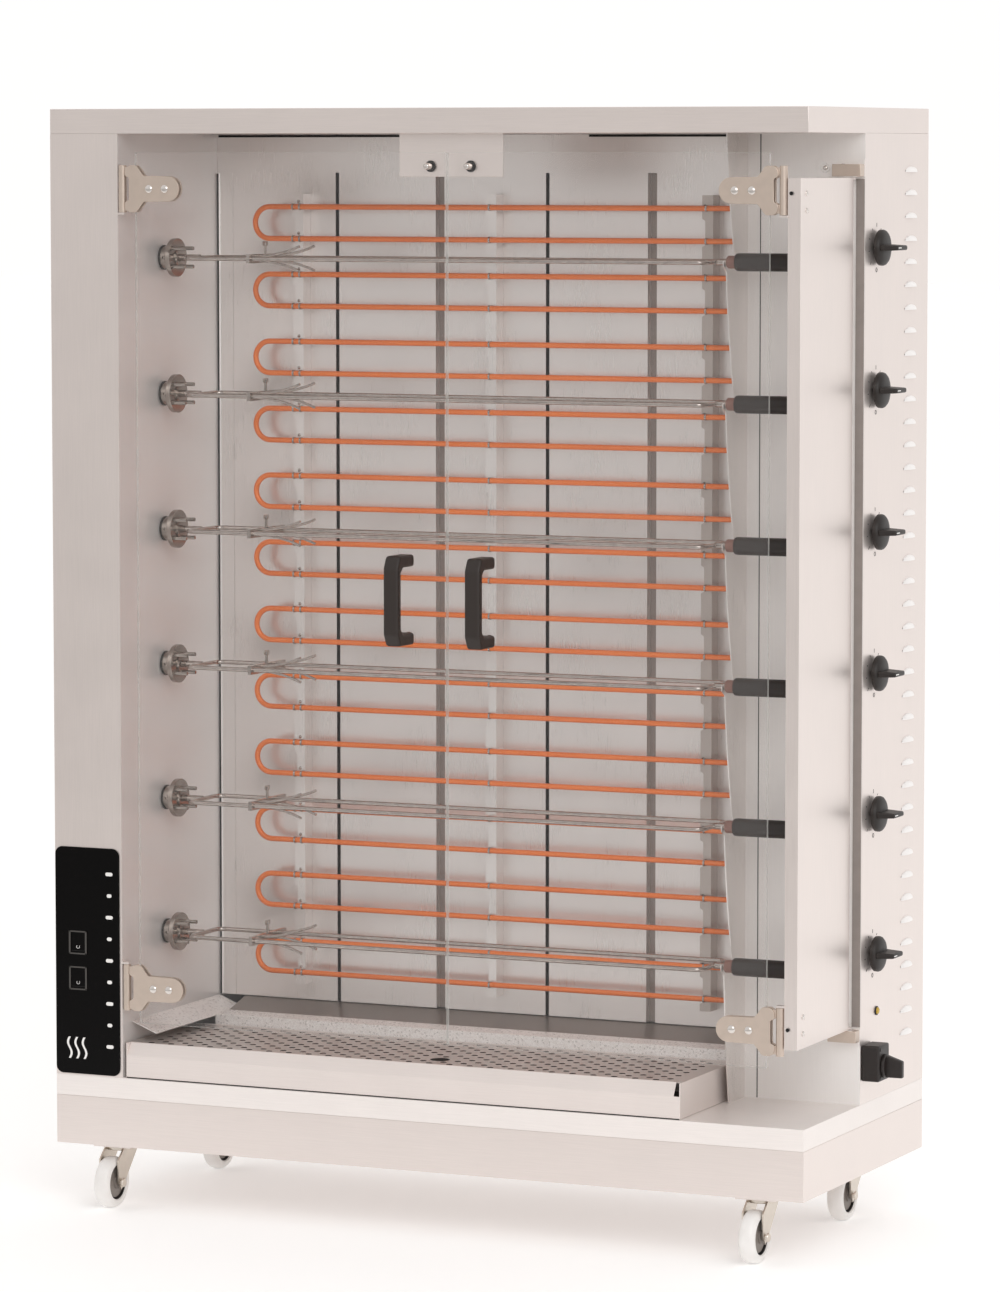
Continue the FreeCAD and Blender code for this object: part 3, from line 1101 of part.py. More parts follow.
keep("indicator_lamp", fuse(
    rod("x", "lamp_radius - lamp_rim - bore_gap", (f"{HALF_WIDTH} - lamp_depth_inside", "lamp_depth", "lamp_height"),
        "lamp_depth_inside + cut_over"),
    rod("x", "lamp_radius", (HALF_WIDTH, "lamp_depth", "lamp_height"), "lamp_reach")))
keep("main_switch_body", box((HALF_WIDTH, f"{HALF_WIDTH} + mains_reach"),
                             ("mains_depth - mains_width / 2", "mains_depth + mains_width / 2"),
                             ("mains_height - mains_tall / 2", "mains_height + mains_tall / 2")))
lever = new_body("main_switch_lever")
dial = new_sketch(lever, "YZ_Plane", "mains_reach + move_gap")
circle(dial, "mains_lever_radius")
pad(lever, dial, "mains_dial")
blade = new_sketch(lever, "YZ_Plane", "mains_reach + move_gap + mains_dial - cut_over")
rectangle(blade, "-mains_blade / 2", "mains_blade / 2", "-mains_lever_radius", "mains_lever_radius")
pad(lever, blade, "mains_lever_reach - mains_dial + cut_over")
place(lever, HALF_WIDTH, "mains_depth", "mains_height - mains_lever_drop")

# ---------------------------------------------------------------- check and export
doc.recompute()
for item in doc.Objects:
    if "Invalid" in item.State or "Error" in item.State:
        raise RuntimeError(f"{item.Label} failed: {item.State}")
for label, item in parts.items():
    if item.Shape.isNull() or not item.Shape.isValid():
        raise RuntimeError(f"{label} has no valid shape")

os.makedirs("parts", exist_ok=True)
for label, item in parts.items():
    item.Shape.exportStep(f"parts/{label}.step")
    box_size = item.Shape.BoundBox
    print(f"{label:24s} solids {len(item.Shape.Solids):2d} volume {item.Shape.Volume / 1000:9.1f} cm3  "
          f"z {box_size.ZMin:7.1f} {box_size.ZMax:7.1f}")
print(len(parts), "sub-parts")
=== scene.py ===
import json
import math

import bmesh
import bpy
from mathutils import Matrix, Vector


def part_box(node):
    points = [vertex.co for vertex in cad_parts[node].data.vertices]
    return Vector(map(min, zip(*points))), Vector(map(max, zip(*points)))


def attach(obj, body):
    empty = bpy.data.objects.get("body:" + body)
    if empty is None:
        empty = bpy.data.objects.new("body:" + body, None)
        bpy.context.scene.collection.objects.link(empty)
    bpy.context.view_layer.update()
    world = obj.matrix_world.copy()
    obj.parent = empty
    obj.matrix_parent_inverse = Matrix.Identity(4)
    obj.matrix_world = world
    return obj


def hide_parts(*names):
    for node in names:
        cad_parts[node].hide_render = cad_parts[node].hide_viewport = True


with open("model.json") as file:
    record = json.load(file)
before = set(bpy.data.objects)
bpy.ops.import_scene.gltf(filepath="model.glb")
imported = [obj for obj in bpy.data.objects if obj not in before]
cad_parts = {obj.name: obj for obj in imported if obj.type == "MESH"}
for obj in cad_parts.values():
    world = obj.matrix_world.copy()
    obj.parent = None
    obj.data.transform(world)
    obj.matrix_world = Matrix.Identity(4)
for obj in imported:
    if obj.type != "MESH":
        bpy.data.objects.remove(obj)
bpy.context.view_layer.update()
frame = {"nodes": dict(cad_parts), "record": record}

# ---------------------------------------------------------------- casing steel
# The cabinet is folded from 1.5 mm brushed stainless sheet.  The grain runs the length of each
# sheet, the folds are rounded, and rolling and wiping leave faint clouds.


class Value:
    """A socket that can stand in a sum: each operator adds a Math node to its finish."""

    def __init__(self, finish, socket):
        self.finish, self.socket = finish, socket

    def math(self, operation, other):
        return self.finish.node("ShaderNodeMath", {"operation": operation}, {0: self, 1: other})

    def __add__(self, other):
        return self.math("ADD", other)

    def __mul__(self, other):
        return self.math("MULTIPLY", other)

    __radd__ = __add__
    __rmul__ = __mul__


class Finish:
    """A material, or the surroundings, and the one method that adds any node to it."""

    def __init__(self, name, owner=None, shader="Principled BSDF", **sockets):
        self.material = owner or bpy.data.materials.new(name)
        self.material.use_nodes = True
        self.shader = self.material.node_tree.nodes[shader]
        self.fill(self.shader, {word.replace("_", " "): value for word, value in sockets.items()})

    def fill(self, node, inputs):
        for name, value in inputs.items():
            if isinstance(value, Value):
                self.material.node_tree.links.new(value.socket, node.inputs[name])
            else:
                node.inputs[name].default_value = value

    def node(self, kind, settings, inputs, output=0):
        made = self.material.node_tree.nodes.new(kind)
        for name, value in settings.items():
            setattr(made, name, value)
        self.fill(made, inputs)
        return Value(self, made.outputs[output])

    def noise(self, stretch, scale, detail=3.0):
        """Noise in the piece's own coordinates, from 0 to 1, drawn out along the smaller stretches."""
        spot = self.node("ShaderNodeTexCoord", {}, {}, "Object")
        spot = self.node("ShaderNodeMapping", {}, {"Vector": spot, "Scale": stretch})
        return self.node("ShaderNodeTexNoise", {}, {"Vector": spot, "Scale": scale, "Detail": detail})

    def between(self, share, first, second):
        """Colour that goes from the first to the second as the share goes from 0 to 1."""
        return self.node("ShaderNodeMix", {"data_type": "RGBA"}, {0: share, 6: first, 7: second}, 2)

    def surface(self, share, first, second, roughness):
        """Sets a colour that goes from the first to the second, and how rough it is."""
        self.fill(self.shader, {"Base Color": self.between(share, first, second), "Roughness": roughness})

    def bump(self, height, strength, distance):
        bump = self.node("ShaderNodeBump", {}, {"Height": height, "Strength": strength, "Distance": distance})
        self.fill(self.shader, {"Normal": bump})


def paint(red, green, blue):
    """Linear colour from the usual 0 to 255 values."""
    return tuple((channel / 255) ** 2.2 for channel in (red, green, blue)) + (1.0,)


def shaded(colour, factor):
    return tuple(channel * factor for channel in colour[:3]) + (1.0,)


GRAIN = {"x": (1.5, 90, 90), "z": (90, 90, 1.5)}
EVEN = (1, 1, 1)
STEEL_DARK, STEEL_PALE = 0.88, 1.06
LINE_GLOSS, CLOUD_GLOSS = 0.14, 0.1


def brushed_steel(name, grain, colour, roughness=0.34, clouds=0.35, metallic=0.85):
    """Stainless sheet: fine grain lines along one axis, over broad soft clouds."""
    steel = Finish(name, Metallic=metallic)
    lines = steel.noise(GRAIN[grain], 14, 4)
    cloud = steel.noise(EVEN, 11, 5)
    shade = lines * (1 - clouds) + cloud * clouds
    gloss = lines * LINE_GLOSS + cloud * CLOUD_GLOSS + (roughness - (LINE_GLOSS + CLOUD_GLOSS) / 2)
    steel.surface(shade, shaded(colour, STEEL_DARK), shaded(colour, STEEL_PALE), gloss)
    steel.bump(lines, 0.06, 0.0003)
    return steel.material


STEEL = paint(236, 226, 221)
upright_steel = brushed_steel("upright_steel", "z", STEEL)
level_steel = brushed_steel("level_steel", "x", STEEL)
cavity_steel = brushed_steel("cavity_steel", "z", paint(236, 231, 228), 0.3, 0.7)
SHARP_TURN = 35


def piece(name, shape, finishes, body, slot, *nodes):
    """Turns a bmesh into a piece that rides on its body, in place of the nodes named."""
    mesh = bpy.data.meshes.new(name)
    shape.to_mesh(mesh)
    shape.free()
    if "custom_normal" in mesh.attributes:
        mesh.attributes.remove(mesh.attributes["custom_normal"])
    for finish in finishes if isinstance(finishes, (list, tuple)) else [finishes]:
        mesh.materials.append(finish)
    flags = [False] * len(mesh.polygons)
    mesh.polygons.foreach_get("use_smooth", flags)
    mesh.set_sharp_from_angle(angle=math.radians(SHARP_TURN))
    mesh.polygons.foreach_set("use_smooth", flags)
    made = bpy.data.objects.new(name, mesh)
    bpy.context.scene.collection.objects.link(made)
    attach(made, body)
    if nodes:
        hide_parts(*nodes)
    return made


WELD, FLAT_TURN, CURVE_TURN = 0.00002, 0.5, 25


def solid_of(node):
    """The node's own shape as whole faces, with the faces of a curve marked smooth."""
    shape = bmesh.new()
    shape.from_mesh(frame["nodes"][node].data)
    bmesh.ops.remove_doubles(shape, verts=shape.verts, dist=WELD)
    bmesh.ops.dissolve_limit(shape, angle_limit=math.radians(FLAT_TURN), verts=shape.verts, edges=shape.edges)
    for face in shape.faces:
        face.material_index = 0
        turns = [math.degrees(edge.calc_face_angle(0)) for edge in face.edges if len(edge.link_faces) == 2]
        face.smooth = any(FLAT_TURN < turn < CURVE_TURN for turn in turns)
    return shape


def ease(shape, radius, segments=2, least=40, edges=None):
    """Rounds the edges that turn by more than the least angle."""
    chosen = [edge for edge in (edges or shape.edges)
              if len(edge.link_faces) == 2 and edge.calc_face_angle(0) > math.radians(least)]
    made = bmesh.ops.bevel(shape, geom=chosen, affect="EDGES", offset=radius, offset_type="OFFSET",
                           segments=segments, profile=0.5, material=-1, clamp_overlap=True)
    for face in made["faces"]:
        face.smooth = True
    return shape


def body_of(node):
    return next(body for body, nodes in frame["record"]["behaviour"]["bodies"].items() if node in nodes)


def slot_of(node):
    return next(row["material_slot"] for row in frame["record"]["subparts"] if row["node"] == node)


def eased(node, finish, radius, segments=2, least=40):
    """The node's shape with its folds or cut edges rounded."""
    return piece(node + "_finished", ease(solid_of(node), radius, segments, least), finish,
                 body_of(node), slot_of(node), node)


def coat(node, *finishes):
    """A CAD node that keeps its shape gets its finish."""
    materials = frame["nodes"][node].data.materials
    materials.clear()
    for finish in finishes:
        materials.append(finish)


FOLD = 0.0010
for node in ("base_skirt", "hood"):
    eased(node, level_steel, FOLD)
# The deck gets a paler, less metallic steel than the hood and skirt: painted light where it lies in the
# housing's shade.
eased("base_deck", brushed_steel("deck_lit_steel", "x", paint(246, 239, 235), 0.46, 0.35, 0.3), FOLD)
for node in ("side_flap", "rear_cover"):
    eased(node, upright_steel, FOLD)
# The column's inner wall gets a paler, less metallic steel than its other faces: painted light on that side.
wall_lit_steel = brushed_steel("cavity_wall_lit_steel", "z", paint(240, 236, 234), 0.38, 0.6, 0.5)
column = ease(solid_of("left_column"), FOLD)
column_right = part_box("control_panel")[1].x
for face in column.faces:
    face.material_index = 1 if face.normal.x > 0.9 and face.calc_center_median().x > column_right else 0
piece("left_column_finished", column, [upright_steel, wall_lit_steel], "cabinet", "casing_steel", "left_column")
# Faces of the housing that look forward or back get a paler, less metallic steel than its sides: painted
# light.
housing = solid_of("right_housing")
for face in housing.faces:
    face.material_index = 1 if abs(face.normal.y) > 0.9 else 0
housing_lit_steel = brushed_steel("housing_front_lit_steel", "z", paint(248, 244, 241), 0.42, 0.5, 0.3)
piece("right_housing_finished", housing, [upright_steel, housing_lit_steel],
      "cabinet", "casing_steel", "right_housing")
coat("rest_plate", cavity_steel)

# ---------------------------------------------------------------- casters
# Zinc-plated pressed forks on a kingpin, and white nylon wheels with a grey hub and a dark
# bearing ring.  The axle is a bolt with a domed head on one side and a nut on the other.


def turned(shape, profile, centre, axis, steps=32, finish=0):
    """Adds a lathe-turned solid.  The profile holds (radius, distance along the axis) from end to end."""
    lathe = bmesh.new()
    turn = Vector(axis).to_track_quat("Z", "Y").to_matrix().to_4x4()
    verts = [lathe.verts.new((radius, 0, along)) for radius, along in profile]
    edges = [lathe.edges.new(pair) for pair in zip(verts, verts[1:])]
    bmesh.ops.spin(lathe, geom=verts + edges, cent=(0, 0, 0), axis=(0, 0, 1), angle=2 * math.pi,
                   steps=steps, use_merge=True)
    bmesh.ops.remove_doubles(lathe, verts=lathe.verts, dist=0.000005)
    bmesh.ops.recalc_face_normals(lathe, faces=lathe.faces)
    for face in lathe.faces:
        face.material_index = finish
        face.smooth = True
    bmesh.ops.transform(lathe, matrix=Matrix.Translation(centre) @ turn, verts=lathe.verts)
    add_copy(shape, lathe)
    return shape


def add_copy(shape, other):
    mesh = bpy.data.meshes.new("passing")
    other.to_mesh(mesh)
    other.free()
    shape.from_mesh(mesh)
    bpy.data.meshes.remove(mesh)


def metal(name, colour, roughness, mottle=0.12, scale=60, metallic=1.0):
    """Bare or plated metal without a grain: colour and gloss drift a little over the surface."""
    made = Finish(name, Metallic=metallic)
    drift = made.noise(EVEN, scale, 4)
    gloss = drift * 0.12 + (roughness - 0.06)
    made.surface(drift, shaded(colour, 1 - mottle), shaded(colour, 1 + mottle), gloss)
    made.bump(drift, 0.05, 0.0003)
    return made.material


zinc = metal("zinc_plate", paint(214, 205, 194), 0.34, 0.1)
nylon_white = Finish("white_nylon", Roughness=0.42, Coat_Weight=0.15, Coat_Roughness=0.3)
wear = nylon_white.noise(EVEN, 45, 4)
nylon_white.surface(wear, paint(228, 224, 220), paint(246, 244, 242), wear * 0.2 + 0.32)
nylon_white.bump(wear, 0.06, 0.0004)
hub_grey = metal("hub_grey", paint(128, 120, 114), 0.5, 0.12, metallic=0.0)
bearing_dark = metal("bearing_dark", paint(38, 35, 34), 0.5, 0.1, metallic=0.0)
BEARING_INNER, BEARING_OUTER = 0.0238, 0.0266
for corner in ("front_left", "front_right", "rear_left", "rear_right"):
    low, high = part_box(f"caster_wheel_{corner}")
    axle = (low + high) / 2
    radius, half = (high.z - low.z) / 2, (high.x - low.x) / 2
    wheel = bmesh.new()
    side = [(0.0045, half - 0.0015), (0.010, half - 0.0015), (0.0102, half - 0.004), (0.0235, half - 0.0055),
            (0.0240, half - 0.0075), (0.0262, half - 0.0075), (0.0268, half - 0.0025),
            (0.0285, half - 0.0005), (radius - 0.0065, half - 0.0002), (radius - 0.0028, half - 0.0022),
            (radius - 0.0007, half - 0.0055), (radius, half - 0.0095)]
    profile = [(r, -along) for r, along in side] + [(r, along) for r, along in reversed(side)]
    profile.append(profile[0])
    turned(wheel, profile, axle, (1, 0, 0), 48)
    for face in wheel.faces:
        spot = face.calc_center_median() - axle
        reach = math.hypot(spot.y, spot.z)
        if reach < BEARING_INNER:
            face.material_index = 1
        elif reach < BEARING_OUTER:
            face.material_index = 2
    piece(f"wheel_{corner}", wheel, [nylon_white.material, hub_grey, bearing_dark],
          f"caster_roll_{corner}", "white_nylon", f"caster_wheel_{corner}")

    eased(f"caster_fork_{corner}", zinc, 0.0009)
    bolts = bmesh.new()
    fork_low, fork_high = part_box(f"caster_fork_{corner}")
    for end, way in ((fork_low.x, 1), (fork_high.x, -1)):
        head = [(0, 0), (0.0035, 0), (0.0062, 0.0004), (0.0072, 0.0022), (0.0072, 0.0026), (0, 0.0026)]
        turned(bolts, head, (end - way * 0.0006, axle.y, axle.z), (way, 0, 0), 6 if way > 0 else 24)
    piece(f"axle_bolt_{corner}", bolts, zinc, f"caster_swivel_{corner}", "zinc_steel")

# ---------------------------------------------------------------- control panel
# A glossy black panel on the front of the motor column, with two rocker switches in raised
# bezels.  A plain heat sign and a row of marks are printed on it.
gloss_black = Finish("gloss_black", Coat_Weight=0.0, Specular_IOR_Level=0.12)
dust = gloss_black.noise(EVEN, 120, 5)
gloss_black.surface(dust, paint(6, 5, 5), paint(14, 12, 12), dust * 0.1 + 0.2)
gloss_black.bump(dust, 0.02, 0.0002)
printed_white = metal("printed_white", paint(240, 238, 235), 0.5, 0.03, metallic=0.0)
rocker_black = metal("rocker_black", paint(40, 38, 37), 0.45, 0.1, metallic=0.0)
bezel_black = metal("bezel_black", paint(70, 67, 64), 0.45, 0.1, metallic=0.0)
panel_low, panel_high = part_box("control_panel")
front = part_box("base_deck")[0].y
PANEL_CORNER, PANEL_THICK, BEZEL_WIDTH, BEZEL_HEIGHT = 0.012, 0.002, 0.0315, 0.037


def block(shape, low, high, radius=0.0, segments=2):
    """Adds a block between two corners, with rounded edges."""
    low, high = Vector(low), Vector(high)
    made = bmesh.ops.create_cube(shape, size=1.0)["verts"]
    for vert in made:
        vert.co = Vector((low[i] + (vert.co[i] + 0.5) * (high[i] - low[i]) for i in range(3)))
    if radius:
        edges = dict.fromkeys(edge for vert in made for edge in vert.link_edges)
        ease(shape, radius, segments, edges=edges)
    return shape


def plate(shape, outline, thick, radius=0.0):
    """Adds a flat plate: an outline of points, pushed out by the thickness, with rounded edges."""
    sheet = bmesh.new()
    face = sheet.faces.new([sheet.verts.new(point) for point in outline])
    pushed = bmesh.ops.extrude_face_region(sheet, geom=[face])["geom"]
    lifted = [item for item in pushed if isinstance(item, bmesh.types.BMVert)]
    bmesh.ops.translate(sheet, vec=thick, verts=lifted)
    bmesh.ops.recalc_face_normals(sheet, faces=sheet.faces)
    if radius:
        ease(sheet, radius)
    add_copy(shape, sheet)
    return shape


def rounded_outline(low, high, radius, steps=6):
    """Corner points of a rectangle with round corners, anticlockwise, as (across, up)."""
    points = []
    middle = ((low[0] + high[0]) / 2, (low[1] + high[1]) / 2)
    corners = [(high[0], high[1]), (low[0], high[1]), (low[0], low[1]), (high[0], low[1])]
    for quarter, (across, up) in enumerate(corners):
        centre = (across - math.copysign(radius, across - middle[0]),
                  up - math.copysign(radius, up - middle[1]))
        for step in range(steps + 1):
            angle = math.pi / 2 * (quarter + step / steps)
            points.append((centre[0] + radius * math.cos(angle), centre[1] + radius * math.sin(angle)))
    return points


rocker_boxes = [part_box("rocker_upper"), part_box("rocker_lower")]
panel = bmesh.new()
outline = rounded_outline((panel_low.x, panel_low.z), (panel_high.x, panel_high.z), PANEL_CORNER)
plate(panel, [(x, front, z) for x, z in outline], (0, -PANEL_THICK, 0), 0.0005)
for low, high in rocker_boxes:
    middle = (low + high) / 2
    half_width, half_height = BEZEL_WIDTH / 2, BEZEL_HEIGHT / 2
    opening = (high.x - low.x) / 2 + 0.0006
    face_front = front - PANEL_THICK - 0.0015
    for way in (-1, 1):
        edge = middle.x + way * half_width
        inner = middle.x + way * opening
        block(panel, (min(edge, inner), face_front, middle.z - half_height),
              (max(edge, inner), front - 0.0005, middle.z + half_height), 0.0005)
        edge = middle.z + way * half_height
        inner = middle.z + way * (opening + 0.0035)
        block(panel, (middle.x - half_width, face_front, min(edge, inner)),
              (middle.x + half_width, front - 0.0005, max(edge, inner)), 0.0005)
for face in panel.faces:
    if face.calc_center_median().y < front - PANEL_THICK - 0.0001:
        face.material_index = 1
piece("control_panel_face", panel, [gloss_black.material, bezel_black], "cabinet", "black_gloss",
      "control_panel")
for node in ("rocker_upper", "rocker_lower"):
    eased(node, rocker_black, 0.0008, 3)
    low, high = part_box(node)
    middle = (low + high) / 2
    marks = bmesh.new()
    block(marks, (-0.0007, -0.0004, 0.0045), (0.0007, 0.0008, 0.0095), 0.0002)
    for angle in range(0, 360, 30):
        turn = Matrix.Rotation(math.radians(angle), 4, "Y")
        dash = bmesh.new()
        block(dash, (-0.0009, -0.0004, 0.0022), (0.0009, 0.0008, 0.0029))
        bmesh.ops.transform(dash, matrix=Matrix.Translation((0, 0, -0.0068)) @ turn, verts=dash.verts)
        add_copy(marks, dash)
    tilt = Matrix.Rotation(math.radians(-8), 4, "X")
    place = Matrix.Translation((middle.x, low.y + 0.0012, middle.z))
    bmesh.ops.transform(marks, matrix=place @ tilt, verts=marks.verts)
    piece(node + "_marks", marks, printed_white, body_of(node), "black_gloss")

PRINT_THICK, MARK_COUNT, MARK_PITCH, MARK_RISE = 0.0005, 9, 0.0338, 0.0028
print_back = front - PANEL_THICK + 0.0002
printing = bmesh.new()
mark_x = panel_high.x - 0.017
for step in range(MARK_COUNT):
    mark_z = panel_high.z - 0.040 - step * MARK_PITCH
    half = 0.0062 if step % 2 == 0 else 0.0042
    outline = rounded_outline((mark_x - half, mark_z - MARK_RISE),
                              (mark_x + half, mark_z + MARK_RISE), 0.0027)
    plate(printing, [(x, print_back, z) for x, z in outline], (0, -PRINT_THICK, 0))
for wave in range(3):
    wave_x = panel_low.x + 0.024 + wave * 0.013
    run = []
    for step in range(13):
        up = panel_low.z + 0.024 + step * 0.0028
        run.append((wave_x + 0.0032 * math.sin(step * math.pi / 6), up))
    outline = [(x - 0.0018, z) for x, z in run] + [(x + 0.0018, z) for x, z in reversed(run)]
    plate(printing, [(x, print_back, z) for x, z in outline], (0, -PRINT_THICK, 0))
piece("panel_printing", printing, printed_white, "cabinet", "black_gloss")

# ---------------------------------------------------------------- drive in the column
# A geared motor and a roller chain, closed in by the column: painted casting and oiled steel.
# They don't show while the column is in place.
coat("spit_drive", metal("drive_paint", paint(96, 100, 106), 0.45, 0.15, metallic=0.6))

# ---------------------------------------------------------------- chucks
# Polished steel hubs on the column wall, each with a flange and four driving pins, and a grub
# screw that holds the hub on its shaft.
SPITS = range(1, 7)
chuck_steel = metal("chuck_steel", paint(158, 149, 142), 0.18, 0.3, 70)


def washer(inner, outer, thick):
    """Profile of a flat ring."""
    return [(inner, 0), (outer, 0), (outer, thick), (inner, thick), (inner, 0)]


for number in SPITS:
    eased(f"chuck_{number}", chuck_steel, 0.0006, 2, 50)
    low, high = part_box(f"chuck_{number}")
    middle = (low + high) / 2
    hub_face = high.x - 0.028
    trim = bmesh.new()
    turned(trim, washer(0.0180, 0.0192, 0.0022), (hub_face - 0.0175, middle.y, middle.z), (1, 0, 0), 40, 1)
    turned(trim, washer(0.0180, 0.0190, 0.0012), (hub_face - 0.0060, middle.y, middle.z), (1, 0, 0), 40, 1)
    grub_screw = [(0, 0), (0.0032, 0), (0.0032, 0.0011), (0.0022, 0.0016), (0.0018, 0.0006), (0, 0.0006)]
    turned(trim, grub_screw, (hub_face - 0.008, middle.y - 0.0176, middle.z), (0, -1, 0), 12)
    boss = [(0.0052, 0), (0.0128, 0), (0.0128, 0.0015), (0.0112, 0.003), (0.0066, 0.003), (0.0052, 0.0018),
            (0.0052, 0)]
    turned(trim, boss, (hub_face + 0.008, middle.y, middle.z), (1, 0, 0), 32)
    piece(f"chuck_trim_{number}", trim, [chuck_steel, bearing_dark], f"spindle_{number}", "bright_steel")

# ---------------------------------------------------------------- spits
# Two bright rods bent from one bar, a tip and a journal welded on, and a meat fork that slides
# on the rods and is held by a wing screw.
spit_bright = metal("spit_bright", paint(172, 163, 157), 0.14, 0.3, 90)
FORK_X = -0.330
for number in SPITS:
    coat(f"spit_{number}", spit_bright)
    tip_low, tip_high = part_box(f"spit_{number}")
    axis_y, axis_z = (tip_low.y + tip_high.y) / 2, (tip_low.z + tip_high.z) / 2
    screw = bmesh.new()
    stem = [(0, 0), (0.0022, 0), (0.0022, 0.012), (0.0032, 0.013), (0.0032, 0.017), (0, 0.0172)]
    turned(screw, stem, (FORK_X, axis_y, axis_z + 0.0069), (0, 0, 1), 12)
    block(screw, (FORK_X - 0.0009, axis_y - 0.0085, axis_z + 0.0195),
          (FORK_X + 0.0009, axis_y + 0.0085, axis_z + 0.0265), 0.0008)
    piece(f"fork_screw_{number}", screw, spit_bright, f"spit_unit_{number}", "bright_steel")

# ---------------------------------------------------------------- spit grips
# A reddish brown heat collar, and a turned black grip of heat-proof plastic with rounded ends,
# both held on the spit's journal.
grip_black = metal("grip_black", paint(44, 37, 34), 0.5, 0.12, 150, metallic=0.0)
collar_brown = metal("collar_brown", paint(128, 92, 82), 0.5, 0.18, 120, metallic=0.0)
for number in SPITS:
    low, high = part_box(f"spit_grip_{number}")
    middle = (low + high) / 2
    radius, length = (high.y - low.y) / 2, high.x - low.x
    grip = bmesh.new()
    inner_end = (low.x, middle.y, middle.z)
    collar = [(0, 0.0005), (0.0085, 0.0005), (0.0097, 0.0018), (0.0097, 0.0135), (0.0093, 0.0138),
              (0, 0.0138)]
    turned(grip, collar, inner_end, (1, 0, 0), 32, 1)
    profile = [(0, 0.0139), (0.0105, 0.0139), (0.0125, 0.0146), (0.0132, 0.0162), (radius, 0.020),
               (radius, length - 0.006), (radius - 0.0006, length - 0.0028),
               (radius - 0.0022, length - 0.0008), (radius - 0.0045, length), (0.004, length),
               (0.003, length - 0.0008), (0, length - 0.0008)]
    turned(grip, profile, inner_end, (1, 0, 0), 40)
    piece(f"grip_{number}", grip, [grip_black, collar_brown], f"spit_unit_{number}", "black_nylon",
          f"spit_grip_{number}")

# ---------------------------------------------------------------- rear reflector
# Three bright sheets behind the elements, the middle and the right one with an upright rib
# pressed in, open joints between them, a flange in the left corner and a band under the hood.
# A near black used as painted shade in gaps, holes and bores, and as the print of the knob marks.
shade_and_print_black = metal("shadow_and_print_black", paint(20, 18, 18), 0.8, 0.1, metallic=0.0)
reflector_low, reflector_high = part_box("rear_reflector")
face_y = reflector_high.y - 0.0015
JOINT_LEFT, JOINT_RIGHT, JOINT_HALF = -0.297, 0.0645, 0.003
MIDDLE_RIB, RIGHT_RIB, RIB_FOOT, RIB_TOP, RIB_DEPTH = -0.119, 0.240, 0.0075, 0.006, 0.009
SHEET_THICK, SHEET_RETURN, BAND_HEIGHT = 0.0014, 0.008, 0.060


def folded_sheet(shape, run, low, high, thick):
    """Adds a sheet that follows a run of (x, y) points and stands between two heights."""
    outline = [(x, y, low) for x, y in run] + [(x, y + thick, low) for x, y in reversed(run)]
    return plate(shape, outline, (0, 0, high - low))


reflector = bmesh.new()
for start, end, rib in ((reflector_low.x, JOINT_LEFT - JOINT_HALF, None),
                        (JOINT_LEFT + JOINT_HALF, JOINT_RIGHT - JOINT_HALF, MIDDLE_RIB),
                        (JOINT_RIGHT + JOINT_HALF, reflector_high.x, RIGHT_RIB)):
    run = [(start, face_y + SHEET_RETURN), (start, face_y)]
    if rib is not None:
        run += [(rib - RIB_FOOT, face_y), (rib - RIB_TOP, face_y + RIB_DEPTH),
                (rib + RIB_TOP, face_y + RIB_DEPTH), (rib + RIB_FOOT, face_y)]
    run += [(end, face_y), (end, face_y + SHEET_RETURN)]
    folded_sheet(reflector, run, reflector_low.z, reflector_high.z - 0.0005, SHEET_THICK)
band_y = face_y - 0.0016
folded_sheet(reflector, [(reflector_low.x, band_y), (reflector_high.x, band_y)],
             reflector_high.z - BAND_HEIGHT, reflector_high.z - 0.0008, SHEET_THICK)
folded_sheet(reflector, [(reflector_low.x + 0.003, face_y - 0.0030), (reflector_low.x + 0.005, band_y),
                         (reflector_low.x + 0.027, band_y)],
             reflector_low.z, reflector_high.z - 0.061, 0.0012)
# The floor of each pressed rib gets a darker steel: painted shade in the groove.
for face in reflector.faces:
    if face.calc_center_median().y > face_y + 0.0072 and face.calc_area() > 0.002:
        face.material_index = 1
rib_shade_steel = brushed_steel("rib_shade_steel", "z", paint(150, 141, 136), 0.45, 0.5)
piece("reflector_sheets", reflector, [cavity_steel, rib_shade_steel], "cabinet", "casing_steel", "rear_reflector")
# Black strips painted as shade: in the left corner, under the top band, and one upright at the cavity's
# right.
gap_shades = bmesh.new()
gap_front, gap_back = face_y - 0.0032, face_y - 0.0018
block(gap_shades, (reflector_low.x + 0.0002, gap_front, reflector_low.z),
      (reflector_low.x + 0.0026, gap_back, reflector_high.z - 0.062))
for start, end in ((reflector_low.x + 0.003, -0.060), (0.135, reflector_high.x - 0.003)):
    block(gap_shades, (start, gap_front, reflector_high.z - 0.0045), (end, gap_back, reflector_high.z - 0.001))
joint_x = reflector_high.x + 0.0215
deck_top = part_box("base_deck")[1].z
block(gap_shades, (joint_x, -0.0204, deck_top + 0.0008), (joint_x + 0.0014, -0.0199, reflector_high.z - 0.001))
piece("cavity_gap_shades", gap_shades, shade_and_print_black, "cabinet", "casing_steel")

